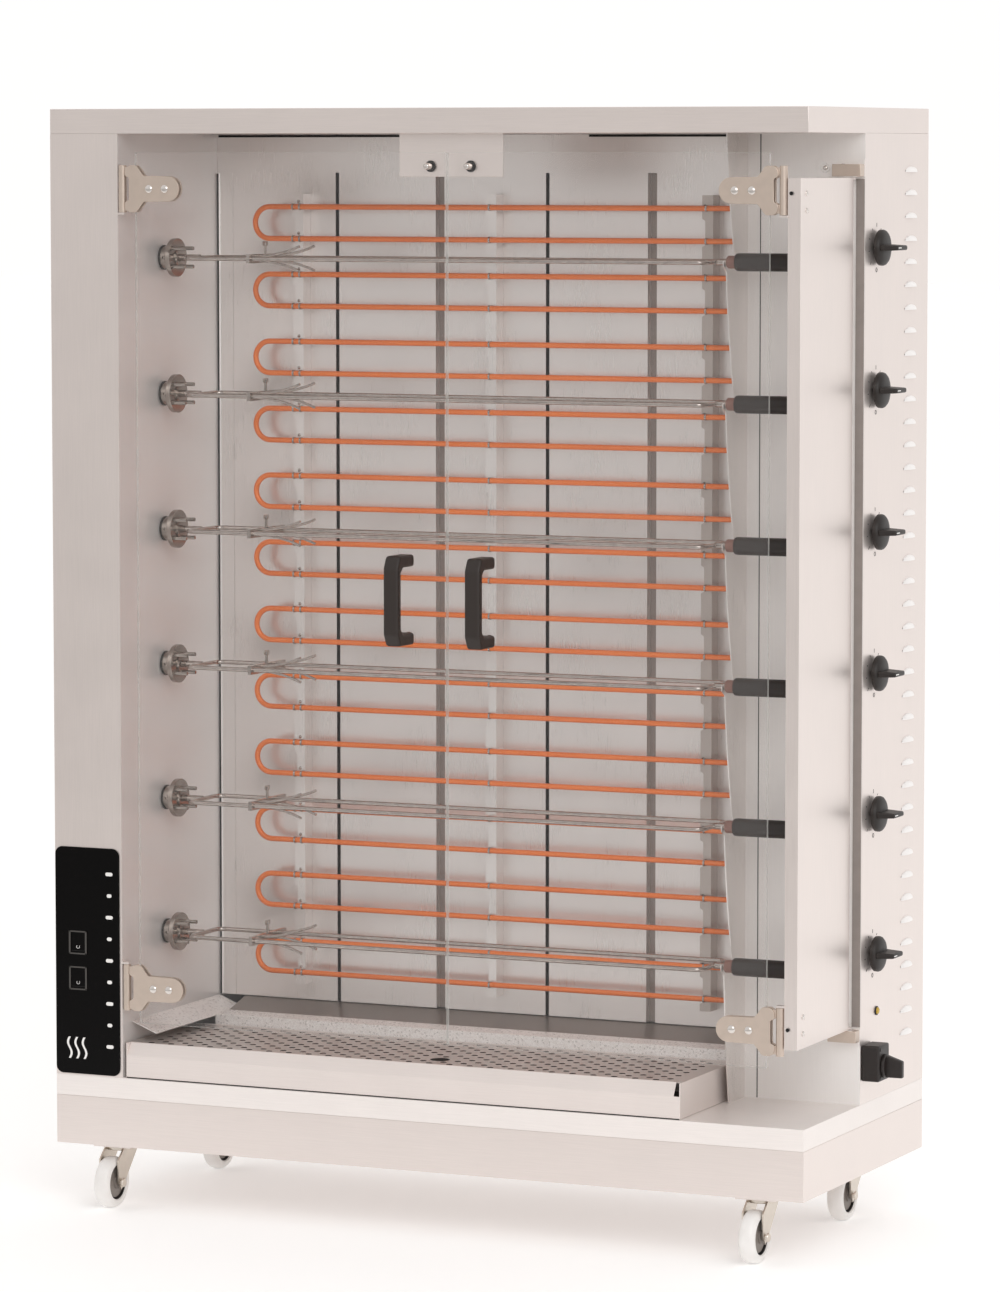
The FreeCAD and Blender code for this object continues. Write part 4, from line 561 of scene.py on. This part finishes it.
# ---------------------------------------------------------------- element rails
# Channels screwed to the reflector.  Their left edge steps in beside each element, and a
# screw stands at every step of the right one.
RAIL_X = (-0.353, -0.020, 0.342)
RAIL_HALF, RAIL_SHEET, NOTCH = 0.009, 0.0015, 0.005
elements_low, elements_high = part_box("heating_elements")
SPIT_LOW, SPIT_PITCH, ELEMENT_SHIFT, ELEMENT_BEND = 0.4216, 0.2116, 0.053, 0.025
LEG_RADIUS = (elements_high.y - elements_low.y) / 2
element_y = (elements_low.y + elements_high.y) / 2
element_heights = [SPIT_LOW + index * SPIT_PITCH + way * ELEMENT_SHIFT
                   for index in range(6) for way in (-1, 1)]
rail_low, rail_high = element_heights[0] - 0.045, element_heights[-1] + 0.045
rail_front, rail_back = element_y + LEG_RADIUS + 0.0003, face_y - 0.0002


def screw_head(shape, centre, axis, radius, height):
    """Adds a domed head with a rounded rim."""
    profile = [(0, -0.0004), (radius, -0.0004), (radius, height * 0.3), (radius * 0.8, height * 0.75),
               (radius * 0.4, height), (0, height * 1.05)]
    return turned(shape, profile, centre, axis, 16)


rail_screws = bmesh.new()
# The right rail gets a darker steel than the other two: painted shade.
right_rail_shade = brushed_steel("right_rail_shade_steel", "z", paint(188, 178, 172), 0.36, 0.4)
for count, rail_x in enumerate(RAIL_X, 1):
    rails = bmesh.new()
    left_edge, right_edge = rail_x - RAIL_HALF, rail_x + RAIL_HALF
    steps = [(right_edge, rail_low), (left_edge, rail_low)]
    for height in element_heights:
        steps += [(left_edge, height - 0.034), (left_edge + NOTCH, height - 0.031),
                  (left_edge + NOTCH, height + 0.006), (left_edge, height + 0.009)]
    steps += [(left_edge, rail_high), (right_edge, rail_high)]
    plate(rails, [(x, rail_front, z) for x, z in steps], (0, RAIL_SHEET, 0))
    for wall_x in (right_edge - RAIL_SHEET, left_edge + NOTCH):
        block(rails, (wall_x, rail_front + RAIL_SHEET, rail_low), (wall_x + RAIL_SHEET, rail_back, rail_high))
    for height in element_heights if rail_x > 0 else ():
        screw_head(rail_screws, (rail_x - 0.004, rail_front, height + 0.028), (0, -1, 0), 0.0030, 0.0012)
    piece(f"element_rail_{count}", rails, right_rail_shade if rail_x > 0 else cavity_steel,
          "cabinet", "casing_steel")
piece("rail_screws", rail_screws, bearing_dark, "cabinet", "casing_steel")

# ---------------------------------------------------------------- heating elements
# Copper-coloured sheathed tubes, bent into hairpins.  Bright saddle clips hold each leg on the
# rails, and the sheath darkens unevenly where it glows.
copper = Finish("element_copper", Metallic=0.25, Coat_Weight=0.1, Coat_Roughness=0.4)
burn = copper.noise((0.6, 1, 1), 26, 5)
copper.surface(burn, paint(228, 112, 50), paint(244, 136, 72), burn * 0.2 + 0.32)
copper.bump(burn, 0.08, 0.0004)
coat("heating_elements", copper.material)
clips = bmesh.new()
saddle = washer(LEG_RADIUS - 0.0002, LEG_RADIUS + 0.0011, 0.0030)
for height in element_heights:
    for way in (-1, 1):
        leg_z = height + way * ELEMENT_BEND
        for rail_x in RAIL_X:
            for shift in (-0.006, 0.006) if rail_x == RAIL_X[0] else (0.0,):
                turned(clips, saddle, (rail_x + shift - 0.0015, element_y, leg_z), (1, 0, 0), 14)
        screw_head(clips, (RAIL_X[0] + 0.001, rail_front, leg_z + 0.0085), (0, -1, 0), 0.0026, 0.0018)
piece("element_clips", clips, spit_bright, "cabinet", "bright_steel")

# ---------------------------------------------------------------- grease deflectors
# Galvanised sheets that lead the grease to the tray: a slope on the left with a folded lip,
# and one at the back that ends in an apron.
galvanised = Finish("galvanised_sheet", Metallic=0.2)
place = galvanised.node("ShaderNodeTexCoord", {}, {}, "Object")
cells = galvanised.node("ShaderNodeTexVoronoi", {}, {"Vector": place, "Scale": 420.0}, "Color")
flake = galvanised.node("ShaderNodeSeparateColor", {}, {"Color": cells})
galvanised.surface(flake, paint(226, 220, 216), paint(243, 239, 236), flake * 0.25 + 0.25)
galvanised.bump(flake, 0.05, 0.0003)
# The upward faces of the rear slope get a dark steel: painted shade on that part of the sheet.
rear_slope_shade_steel = brushed_steel("rear_slope_shade_steel", "x", paint(150, 140, 134), 0.42)
deflectors = ease(solid_of("grease_deflectors"), 0.0005)
deflector_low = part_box("grease_deflectors")[0]
for face in deflectors.faces:
    spot = face.calc_center_median()
    rear_slope = spot.x > deflector_low.x + 0.045 and face.normal.z > 0.2 and spot.y > 0.025
    face.material_index = 1 if rear_slope else 0
piece("deflector_sheets", deflectors, [galvanised.material, rear_slope_shade_steel],
      "cabinet", "galvanised", "grease_deflectors")

# ---------------------------------------------------------------- drip tray
# A folded tray with a front lip that leans back, and a perforated insert with drain holes and
# a finger hole, stained a little by grease.
tray = ease(solid_of("drip_tray"), FOLD)
tray_low, tray_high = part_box("drip_tray")
# The tray's floor, under the insert, is painted dark: painted shade.
for face in tray.faces:
    face.material_index = 1 if face.normal.z > 0.9 and face.calc_center_median().z < tray_low.z + 0.004 else 0
tray_steel = brushed_steel("tray_steel", "x", STEEL, 0.38, 0.4, 0.4)
tray_floor_shade = metal("tray_floor_shade", paint(74, 66, 62), 0.6, 0.3, 30, 0.2)
piece("drip_tray_finished", tray, [tray_steel, tray_floor_shade], "tray", "casing_steel", "drip_tray")
# A thin black strip along the tray's lower front edge is a painted shadow line against the deck.
shade_strip = bmesh.new()
block(shade_strip, (tray_low.x + 0.001, tray_low.y - 0.0002, tray_low.z),
      (tray_high.x - 0.001, tray_low.y + 0.0006, tray_low.z + 0.0014))
piece("tray_shadow_strip", shade_strip, shade_and_print_black, "tray", "casing_steel")
insert_finish = Finish("insert_sheet", Metallic=0.45)
stain = insert_finish.noise(EVEN, 16, 6)
scuff = insert_finish.noise(GRAIN["x"], 14, 3)
insert_finish.surface(stain, paint(196, 187, 182), paint(218, 210, 205), stain * 0.2 + scuff * 0.12 + 0.22)
insert_finish.bump(scuff, 0.1, 0.0004)
# The walls of the insert's holes are painted dark: painted shade inside the holes.
hole_shade = metal("hole_shade", paint(60, 52, 48), 0.6, 0.2, metallic=0.2)
insert = solid_of("tray_insert")
insert_low, insert_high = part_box("tray_insert")
INSERT_RIM = 0.01
for face in insert.faces:
    spot = face.calc_center_median()
    inside = (insert_low.x + INSERT_RIM < spot.x < insert_high.x - INSERT_RIM
              and insert_low.y + INSERT_RIM < spot.y < insert_high.y - INSERT_RIM)
    face.material_index = 1 if inside and abs(face.normal.z) < 0.5 else 0
piece("insert_sheet", insert, [insert_finish.material, hole_shade],
      body_of("tray_insert"), slot_of("tray_insert"), "tray_insert")

# ---------------------------------------------------------------- louvres
# Cooling louvres pressed out of the housing's right side: each is a short hood over a slot,
# in the same sheet.
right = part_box("base_deck")[1].x
LOUVRE_LOW, LOUVRE_PITCH, LOUVRE_COUNT, LOUVRE_Y = 0.292, 0.0348, 39, 0.178
LOUVRE_HALF, LOUVRE_REACH, LOUVRE_RISE = 0.024, 0.0064, 0.0088
louvres = bmesh.new()
for step in range(LOUVRE_COUNT):
    hood = bmesh.new()
    bmesh.ops.create_uvsphere(hood, u_segments=16, v_segments=8, radius=1.0)
    bmesh.ops.scale(hood, vec=(LOUVRE_REACH, LOUVRE_HALF, LOUVRE_RISE), verts=hood.verts)
    for normal in ((-1, 0, 0), (0, 0, -1)):
        geometry = hood.verts[:] + hood.edges[:] + hood.faces[:]
        bmesh.ops.bisect_plane(hood, geom=geometry, plane_co=(0, 0, 0), plane_no=normal, clear_outer=True)
    bmesh.ops.solidify(hood, geom=hood.faces[:], thickness=0.0008)
    bmesh.ops.recalc_face_normals(hood, faces=hood.faces)
    place = (right, LOUVRE_Y, LOUVRE_LOW + step * LOUVRE_PITCH - 0.0016)
    bmesh.ops.translate(hood, vec=place, verts=hood.verts)
    add_copy(louvres, hood)
for face in louvres.faces:
    face.smooth = True
# The hoods get a near white, less metallic steel, lighter than the sheet they are pressed from: a painted
# highlight.
louvre_highlight_steel = metal("louvre_highlight_steel", paint(252, 249, 247), 0.3, 0.04, metallic=0.5)
piece("louvre_hoods", louvres, louvre_highlight_steel, "cabinet", "casing_steel")

# ---------------------------------------------------------------- door glass
# Two panes of toughened glass with polished edges, held only by their clamp hinges.  They veil
# what is behind them a little.
pane = Finish("door_glass", Base_Color=paint(236, 232, 229), IOR=1.45, Specular_IOR_Level=0.4)
film = pane.noise(EVEN, 5, 3)
pane.fill(pane.shader, {"Roughness": film * 0.03 + 0.02, "Alpha": film * 0.01 + 0.022})
edge_glass = Finish("glass_edge", Roughness=0.12, IOR=1.45)
grind = edge_glass.noise(EVEN, 200, 2)
edge_glass.fill(edge_glass.shader, {
    "Base Color": edge_glass.between(grind, paint(196, 200, 196), paint(226, 228, 224)),
    "Alpha": grind * 0.1 + 0.45})
for node in ("left_glass", "right_glass"):
    glass = ease(solid_of(node), 0.0008)
    for face in glass.faces:
        face.material_index = 0 if abs(face.normal.y) > 0.9 else 1
    piece(node + "_pane", glass, [pane.material, edge_glass.material], body_of(node), "door_glass", node)

# ---------------------------------------------------------------- clamp hinges
# Satin nickel plates that grip the glass from both sides, on a knuckle round the hinge pin.  The
# arm's end is round, its shoulders flare into the body, and two domed screws clamp the pair.
polished = metal("polished_steel", paint(222, 216, 211), 0.18, 0.08)
nickel = metal("satin_nickel", paint(206, 190, 177), 0.38, 0.07, 80, metallic=0.7)
HINGE_HALF, ARM_HALF, ARM_REACH, PLATE_THICK = 0.036, 0.01925, 0.100, 0.003
SHOULDER_START, SHOULDER_LENGTH = 0.024, 0.018
SCREW_REACHES = (0.048, 0.075)
glass_low, glass_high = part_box("left_glass")
glass_front, glass_back = glass_low.y, glass_high.y
hinge_y = (glass_front + glass_back) / 2


def clamp_outline():
    """(reach from the pivot, height) round a clamp plate, with the knuckle's cut-out."""
    points = [(0.0065, -0.0225), (0.0075, -0.029), (0.0105, -0.0335), (0.0150, -HINGE_HALF),
              (SHOULDER_START, -HINGE_HALF)]
    for step in range(1, 8):
        share = step / 8
        flare = share * share * (3 - 2 * share)
        half = HINGE_HALF - (HINGE_HALF - ARM_HALF) * flare
        points.append((SHOULDER_START + SHOULDER_LENGTH * share, -half))
    for step in range(17):
        angle = math.pi * (step / 16 - 0.5)
        points.append((ARM_REACH - ARM_HALF + ARM_HALF * math.cos(angle), ARM_HALF * math.sin(angle)))
    upper = [(reach, -height) for reach, height in reversed(points[:12])]
    cut = [(0.0085, 0.019), (0.0125, 0.0175), (0.0135, 0.015)]
    return points + upper + cut + [(reach, -height) for reach, height in reversed(cut)]


knuckle = [(0.0026, -0.036), (0.0056, -0.036), (0.0060, -0.0355), (0.0060, 0.0355), (0.0056, 0.036),
           (0.0026, 0.036), (0.0026, -0.036)]
for side, way, pivot in (("left", 1, -0.5005), ("right", -1, 0.586)):
    low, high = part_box(f"{side}_hinges")
    hinge, screws = bmesh.new(), bmesh.new()
    for centre_z in (low.z + HINGE_HALF, high.z - HINGE_HALF):
        for glass_y, push in ((glass_front, -PLATE_THICK), (glass_back, PLATE_THICK)):
            outline = [(pivot + way * reach, glass_y, centre_z + height) for reach, height in clamp_outline()]
            plate(hinge, outline, (0, push, 0), 0.0007)
        turned(hinge, knuckle, (pivot, hinge_y, centre_z), (0, 0, 1), 28)
        ends = sorted((pivot + way * 0.005, pivot + way * 0.016))
        for rise in (-0.0335, 0.0205):
            block(hinge, (ends[0], glass_front - 0.001, centre_z + rise),
                  (ends[1], glass_back + 0.001, centre_z + rise + 0.013), 0.0008)
        for reach in SCREW_REACHES:
            spot = (pivot + way * reach, glass_front - PLATE_THICK, centre_z)
            screw_head(screws, spot, (0, -1, 0), 0.0062, 0.0030)
            block(screws, (spot[0] - 0.0050, spot[1] - 0.0032, spot[2] - 0.0006),
                  (spot[0] + 0.0050, spot[1] - 0.0024, spot[2] + 0.0006))
            screw_head(screws, (spot[0], glass_back + PLATE_THICK, centre_z), (0, 1, 0), 0.0062, 0.0024)
    piece(f"{side}_hinge_clamps", hinge, nickel, f"{side}_door", "hinge_nickel", f"{side}_hinges")
    piece(f"{side}_hinge_screws", screws, polished, f"{side}_door", "bright_steel")

# ---------------------------------------------------------------- door handles
# Bridge handles of dark heat-proof plastic with rounded shoulders.  Two screws through the
# glass hold each one, with washers behind.
handle_black = metal("handle_black", paint(46, 38, 34), 0.5, 0.1, 120, metallic=0.0)
for side in ("left", "right"):
    eased(f"{side}_handle", handle_black, 0.0042, 5, 20)
    low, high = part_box(f"{side}_handle")
    washers = bmesh.new()
    for height in (low.z + 0.010, high.z - 0.010):
        turned(washers, [(0, 0), (0.008, 0), (0.008, 0.0015), (0.0045, 0.0018), (0.0045, 0.004), (0, 0.0043)],
               ((low.x + high.x) / 2, glass_back, height), (0, 1, 0), 24)
    piece(f"{side}_handle_screws", washers, polished, f"{side}_door", "bright_steel")

# ---------------------------------------------------------------- side flap fittings
# Small screws near the flap's front fold, a black disc beside each hinge that is painted shade of a hole, and
# the pivot brackets' screws with ring washers.  Nickelled pivot blocks sit above and below the flap, and a
# grey strip along its rear edge is painted shade.
flap_low, flap_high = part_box("side_flap")
fittings, holes = bmesh.new(), bmesh.new()
for height in (flap_high.z - 0.022, flap_high.z - 0.047, flap_low.z + 0.047, flap_low.z + 0.022):
    screw_head(fittings, (flap_high.x, flap_low.y + 0.026, height), (1, 0, 0), 0.0042, 0.0018)
hinge_low, hinge_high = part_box("right_hinges")
hole = [(0, 0), (0.0029, 0), (0.0029, 0.0003), (0, 0.0003)]
for height in (hinge_high.z - 0.040, hinge_low.z + 0.040):
    turned(holes, hole, (flap_high.x - 0.0145, flap_low.y, height), (0, -1, 0), 20)
piece("flap_screws", fittings, polished, "flap", "bright_steel")
piece("flap_hole_shades", holes, shade_and_print_black, "flap", "casing_steel")
housing_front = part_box("right_housing")[0].y
BLOCK_NEAR, BLOCK_FAR = 0.0018, 0.0200
brackets = bmesh.new()
for height in (flap_high.z + 0.0145, flap_low.z - 0.0145):
    for inset in (0.062, 0.034):
        turned(brackets, washer(0.003, 0.0068, 0.0012), (right - inset, housing_front + 0.0162, height),
               (0, -1, 0), 24)
        screw_head(brackets, (right - inset, housing_front + 0.0155, height), (0, -1, 0), 0.0036, 0.0026)
piece("bracket_screws", brackets, polished, "cabinet", "bright_steel")
blocks = bmesh.new()
for low_z, high_z in ((flap_high.z + BLOCK_NEAR, flap_high.z + BLOCK_FAR),
                      (flap_low.z - BLOCK_FAR, flap_low.z - BLOCK_NEAR)):
    block(blocks, (right - 0.046, housing_front - 0.0008, low_z),
          (right - 0.0005, housing_front + 0.0162, high_z), 0.0010)
piece("flap_pivot_blocks", blocks, nickel, "cabinet", "casing_steel")
# A grey strip along the flap's rear edge is painted shade in the gap between flap and housing.
shade_strip = bmesh.new()
block(shade_strip, (flap_high.x - 0.003, -0.0213, flap_low.z + 0.002),
      (right - 0.0006, -0.0201, flap_high.z - 0.002), 0.0004)
flap_gap_shade_grey = metal("flap_gap_shade_grey", paint(146, 137, 132), 0.7, 0.12, metallic=0.0)
piece("flap_gap_shade", shade_strip, flap_gap_shade_grey, "cabinet", "casing_steel")

# ---------------------------------------------------------------- door catch plungers
# Two bright sprung plungers with rounded noses that touch the glass.  A black ring round each, on the catch
# plate, is painted shade of the bore it slides in.
CATCH_FACE_Y = -0.2310
for side in ("left", "right"):
    low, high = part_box(f"catch_pin_{side}")
    middle = (low + high) / 2
    radius, length = (high.x - low.x) / 2, high.y - low.y
    plunger = bmesh.new()
    nose = [(0, 0), (radius * 0.55, 0.0003), (radius * 0.86, 0.0016), (radius, 0.004), (radius, length),
            (0, length)]
    turned(plunger, nose, (middle.x, low.y, middle.z), (0, 1, 0), 28)
    piece(f"catch_plunger_{side}", plunger, polished, f"{side}_catch_plunger", "bright_steel",
          f"catch_pin_{side}")
    ring = bmesh.new()
    turned(ring, washer(radius + 0.0002, 0.0086, 0.0014), (middle.x, CATCH_FACE_Y, middle.z), (0, -1, 0), 28)
    piece(f"catch_shade_ring_{side}", ring, shade_and_print_black, "cabinet", "casing_steel")

# ---------------------------------------------------------------- knobs
# Black moulded selector knobs: a domed skirt and a grip bar with a white pointer, pushed on
# their shafts over marks printed on the housing.
knob_black = metal("knob_black", paint(36, 30, 27), 0.46, 0.1, 140, metallic=0.0)
marks = bmesh.new()
for number in SPITS:
    low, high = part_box(f"knob_{number}")
    middle = (low + high) / 2
    radius = (high.y - low.y) / 2
    knob = bmesh.new()
    centre = Vector((right, middle.y, middle.z))
    turned(knob, [(0, 0.0045), (0.0255, 0.0045), (0.0268, 0.0055), (radius, 0.0075), (radius, 0.0105),
                  (0.0262, 0.0128), (0.0235, 0.0152), (0.0190, 0.0170), (0.0120, 0.0179), (0, 0.0182)],
           centre, (1, 0, 0), 56)
    turned(knob, [(0, -0.010), (0.003, -0.010), (0.003, 0.006), (0, 0.006)], centre, (1, 0, 0), 16)
    bar = bmesh.new()
    block(bar, (right + 0.014, middle.y - 0.0250, middle.z - 0.0050),
          (high.x, middle.y + 0.0250, middle.z + 0.0050))
    for vert in bar.verts:
        if vert.co.x > right + 0.03:
            vert.co.y = middle.y + (vert.co.y - middle.y) * 0.82
            vert.co.z = middle.z + (vert.co.z - middle.z) * 0.72
    ease(bar, 0.0024, 4, 20)
    add_copy(knob, bar)
    piece(f"knob_turned_{number}", knob, knob_black, f"knob_unit_{number}", "black_nylon", f"knob_{number}")
    pointer = bmesh.new()
    block(pointer, (high.x - 0.0010, middle.y - 0.0185, middle.z - 0.0008),
          (high.x + 0.0003, middle.y - 0.0060, middle.z + 0.0008), 0.0003)
    piece(f"knob_pointer_{number}", pointer, printed_white, f"knob_unit_{number}", "black_nylon")
    for step in range(9):
        angle = math.radians(90 + (step - 4) * 33)
        inner, outer = radius + 0.004, radius + (0.010 if step in (0, 4, 8) else 0.007)
        run = Vector((0, math.cos(angle), math.sin(angle)))
        cross = Vector((0, -run.z, run.y)) * 0.0006
        mark_centre = centre - Vector((0.0002, 0, 0))
        start, end = mark_centre + run * inner, mark_centre + run * outer
        plate(marks, [start - cross, end - cross, end + cross, start + cross], (0.0004, 0, 0))
    turned(marks, washer(0.0026, 0.0034, 0.0003), (right, middle.y, middle.z - radius - 0.0062),
           (1, 0, 0), 16)
piece("knob_marks", marks, shade_and_print_black, "cabinet", "casing_steel")

# ---------------------------------------------------------------- indicator lamp
# An amber plastic lens in a thin dark rim, pushed into a hole in the housing's right side
# above the main switch.
amber = Finish("amber_lens", Roughness=0.12, Coat_Weight=0.6, Coat_Roughness=0.05)
facets = amber.noise(EVEN, 420, 2)
amber.fill(amber.shader, {"Base Color": amber.between(facets, paint(160, 126, 30), paint(214, 178, 60))})
amber.bump(facets, 0.15, 0.0005)
low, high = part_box("indicator_lamp")
middle = (low + high) / 2
lamp = bmesh.new()
centre = (right, middle.y, middle.z)
turned(lamp, [(0, -0.008), (0.0055, -0.008), (0.0055, 0), (0.0070, 0.0002), (0.0070, 0.0016),
              (0.0060, 0.0020), (0.0055, 0.0014)], centre, (1, 0, 0), 32, 1)
turned(lamp, [(0.0056, 0.0012), (0.0054, 0.0030), (0.0040, 0.0043), (0.0020, 0.0049), (0, 0.0050)],
       centre, (1, 0, 0), 32)
piece("lamp_lens", lamp, [amber.material, bearing_dark], "cabinet", "lamp_lens", "indicator_lamp")

# ---------------------------------------------------------------- main switch
# A rotary isolator of black plastic: a block screwed to the housing's side, and a lever with a
# raised, sloping blade.
switch_black = metal("switch_black", paint(38, 32, 30), 0.44, 0.1, 130, metallic=0.0)
low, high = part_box("main_switch_body")
body_shape = bmesh.new()
block(body_shape, low, high, 0.0030, 4)
block(body_shape, (high.x - 0.001, low.y + 0.004, low.z + 0.004),
      (high.x + 0.0002, high.y - 0.004, high.z - 0.004), 0.0008)
for height in (low.z + 0.006, high.z - 0.006):
    screw_head(body_shape, (high.x, (low.y + high.y) / 2 - 0.016, height), (1, 0, 0), 0.0030, 0.0012)
piece("main_switch_block", body_shape, switch_black, "cabinet", "black_nylon", "main_switch_body")
low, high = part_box("main_switch_lever")
middle = (low + high) / 2
radius = (high.y - low.y) / 2
lever = bmesh.new()
dial = [(0, 0), (radius - 0.001, 0), (radius, 0.001), (radius, 0.0036), (radius - 0.0016, 0.0052),
        (0, 0.0056)]
turned(lever, dial, (low.x, middle.y, middle.z), (1, 0, 0), 48)
blade = bmesh.new()
block(blade, (low.x + 0.003, middle.y - 0.0060, low.z + 0.001), (high.x, middle.y + 0.0060, high.z - 0.001))
for vert in blade.verts:
    if vert.co.x > low.x + 0.01 and vert.co.z > middle.z:
        vert.co.z -= 0.0085
    if vert.co.x > low.x + 0.01:
        vert.co.y = middle.y + (vert.co.y - middle.y) * 0.8
ease(blade, 0.0018, 4, 20)
add_copy(lever, blade)
piece("main_switch_handle", lever, switch_black, "switch_lever", "black_nylon", "main_switch_lever")

# ---------------------------------------------------------------- studio
# A plain pale floor that is darker in front, a soft even sky that is a little dimmer in front,
# and one large soft light.
floor_mesh = bmesh.new()
bmesh.ops.create_grid(floor_mesh, x_segments=1, y_segments=1, size=60)
mesh = bpy.data.meshes.new("floor")
floor_mesh.to_mesh(mesh)
floor_mesh.free()
floor = bpy.data.objects.new("floor", mesh)
bpy.context.scene.collection.objects.link(floor)
floor_finish = Finish("floor_pale", Roughness=0.9, Emission_Strength=0.24, Specular_IOR_Level=0.1)
spot = floor_finish.node("ShaderNodeTexCoord", {}, {}, "Object")
depth = floor_finish.node("ShaderNodeSeparateXYZ", {}, {"Vector": spot}, "Y")
near = floor_finish.node("ShaderNodeMapRange", {}, {"Value": depth, "From Min": -2.2, "From Max": -0.9})
floor_finish.fill(floor_finish.shader, {
    "Base Color": floor_finish.between(near, (0.56, 0.55, 0.54, 1), (0.93, 0.925, 0.92, 1)),
    "Emission Color": floor_finish.between(near, (0.1, 0.1, 0.1, 1), (1, 0.995, 0.99, 1))})
mesh.materials.append(floor_finish.material)

sky = Finish("studio", bpy.data.worlds.new("studio"), "Background", Color=(1.0, 0.985, 0.975, 1))
bpy.context.scene.world = sky.material
SKY_DIM, SKY_FULL, SKY_TURN = 0.76, 1.02, 1.1
looking = sky.node("ShaderNodeTexCoord", {}, {}, "Generated")
across = sky.node("ShaderNodeSeparateXYZ", {}, {"Vector": looking}, "X")
along = sky.node("ShaderNodeSeparateXYZ", {}, {"Vector": looking}, "Y")
lean = across * -0.5 + along
rise = sky.node("ShaderNodeMapRange", {}, {"Value": lean, "From Min": -SKY_TURN, "From Max": SKY_TURN})
sky.fill(sky.shader, {"Strength": rise * rise * (SKY_FULL - SKY_DIM) + SKY_DIM})


def soft_light(name, spot, target, size, power):
    lamp_data = bpy.data.lights.new(name, "AREA")
    lamp_data.shape, lamp_data.size, lamp_data.energy = "SQUARE", size, power
    light = bpy.data.objects.new(name, lamp_data)
    light.location = spot
    light.rotation_euler = (Vector(target) - Vector(spot)).to_track_quat("-Z", "Y").to_euler()
    bpy.context.scene.collection.objects.link(light)


soft_light("key", (3.2, -4.2, 3.6), (0, 0, 0.9), 3.0, 85)

# The camera stands to the right of the oven's front, a little above its middle.
camera_data = bpy.data.cameras.new("camera")
camera_data.lens, camera_data.sensor_width = 154.7, 36.0
camera = bpy.data.objects.new("camera", camera_data)
azimuth, elevation = math.radians(24.22), math.radians(5.04)
level = math.cos(elevation)
backward = Vector((math.sin(azimuth) * level, -math.cos(azimuth) * level, math.sin(elevation)))
camera.location = (3.5304, -7.8039, 1.6365)
camera.rotation_mode = "QUATERNION"
camera.rotation_quaternion = (-backward).to_track_quat("-Z", "Y")
bpy.context.scene.collection.objects.link(camera)
bpy.context.scene.camera = camera
bpy.context.scene.view_settings.view_transform = "Standard"
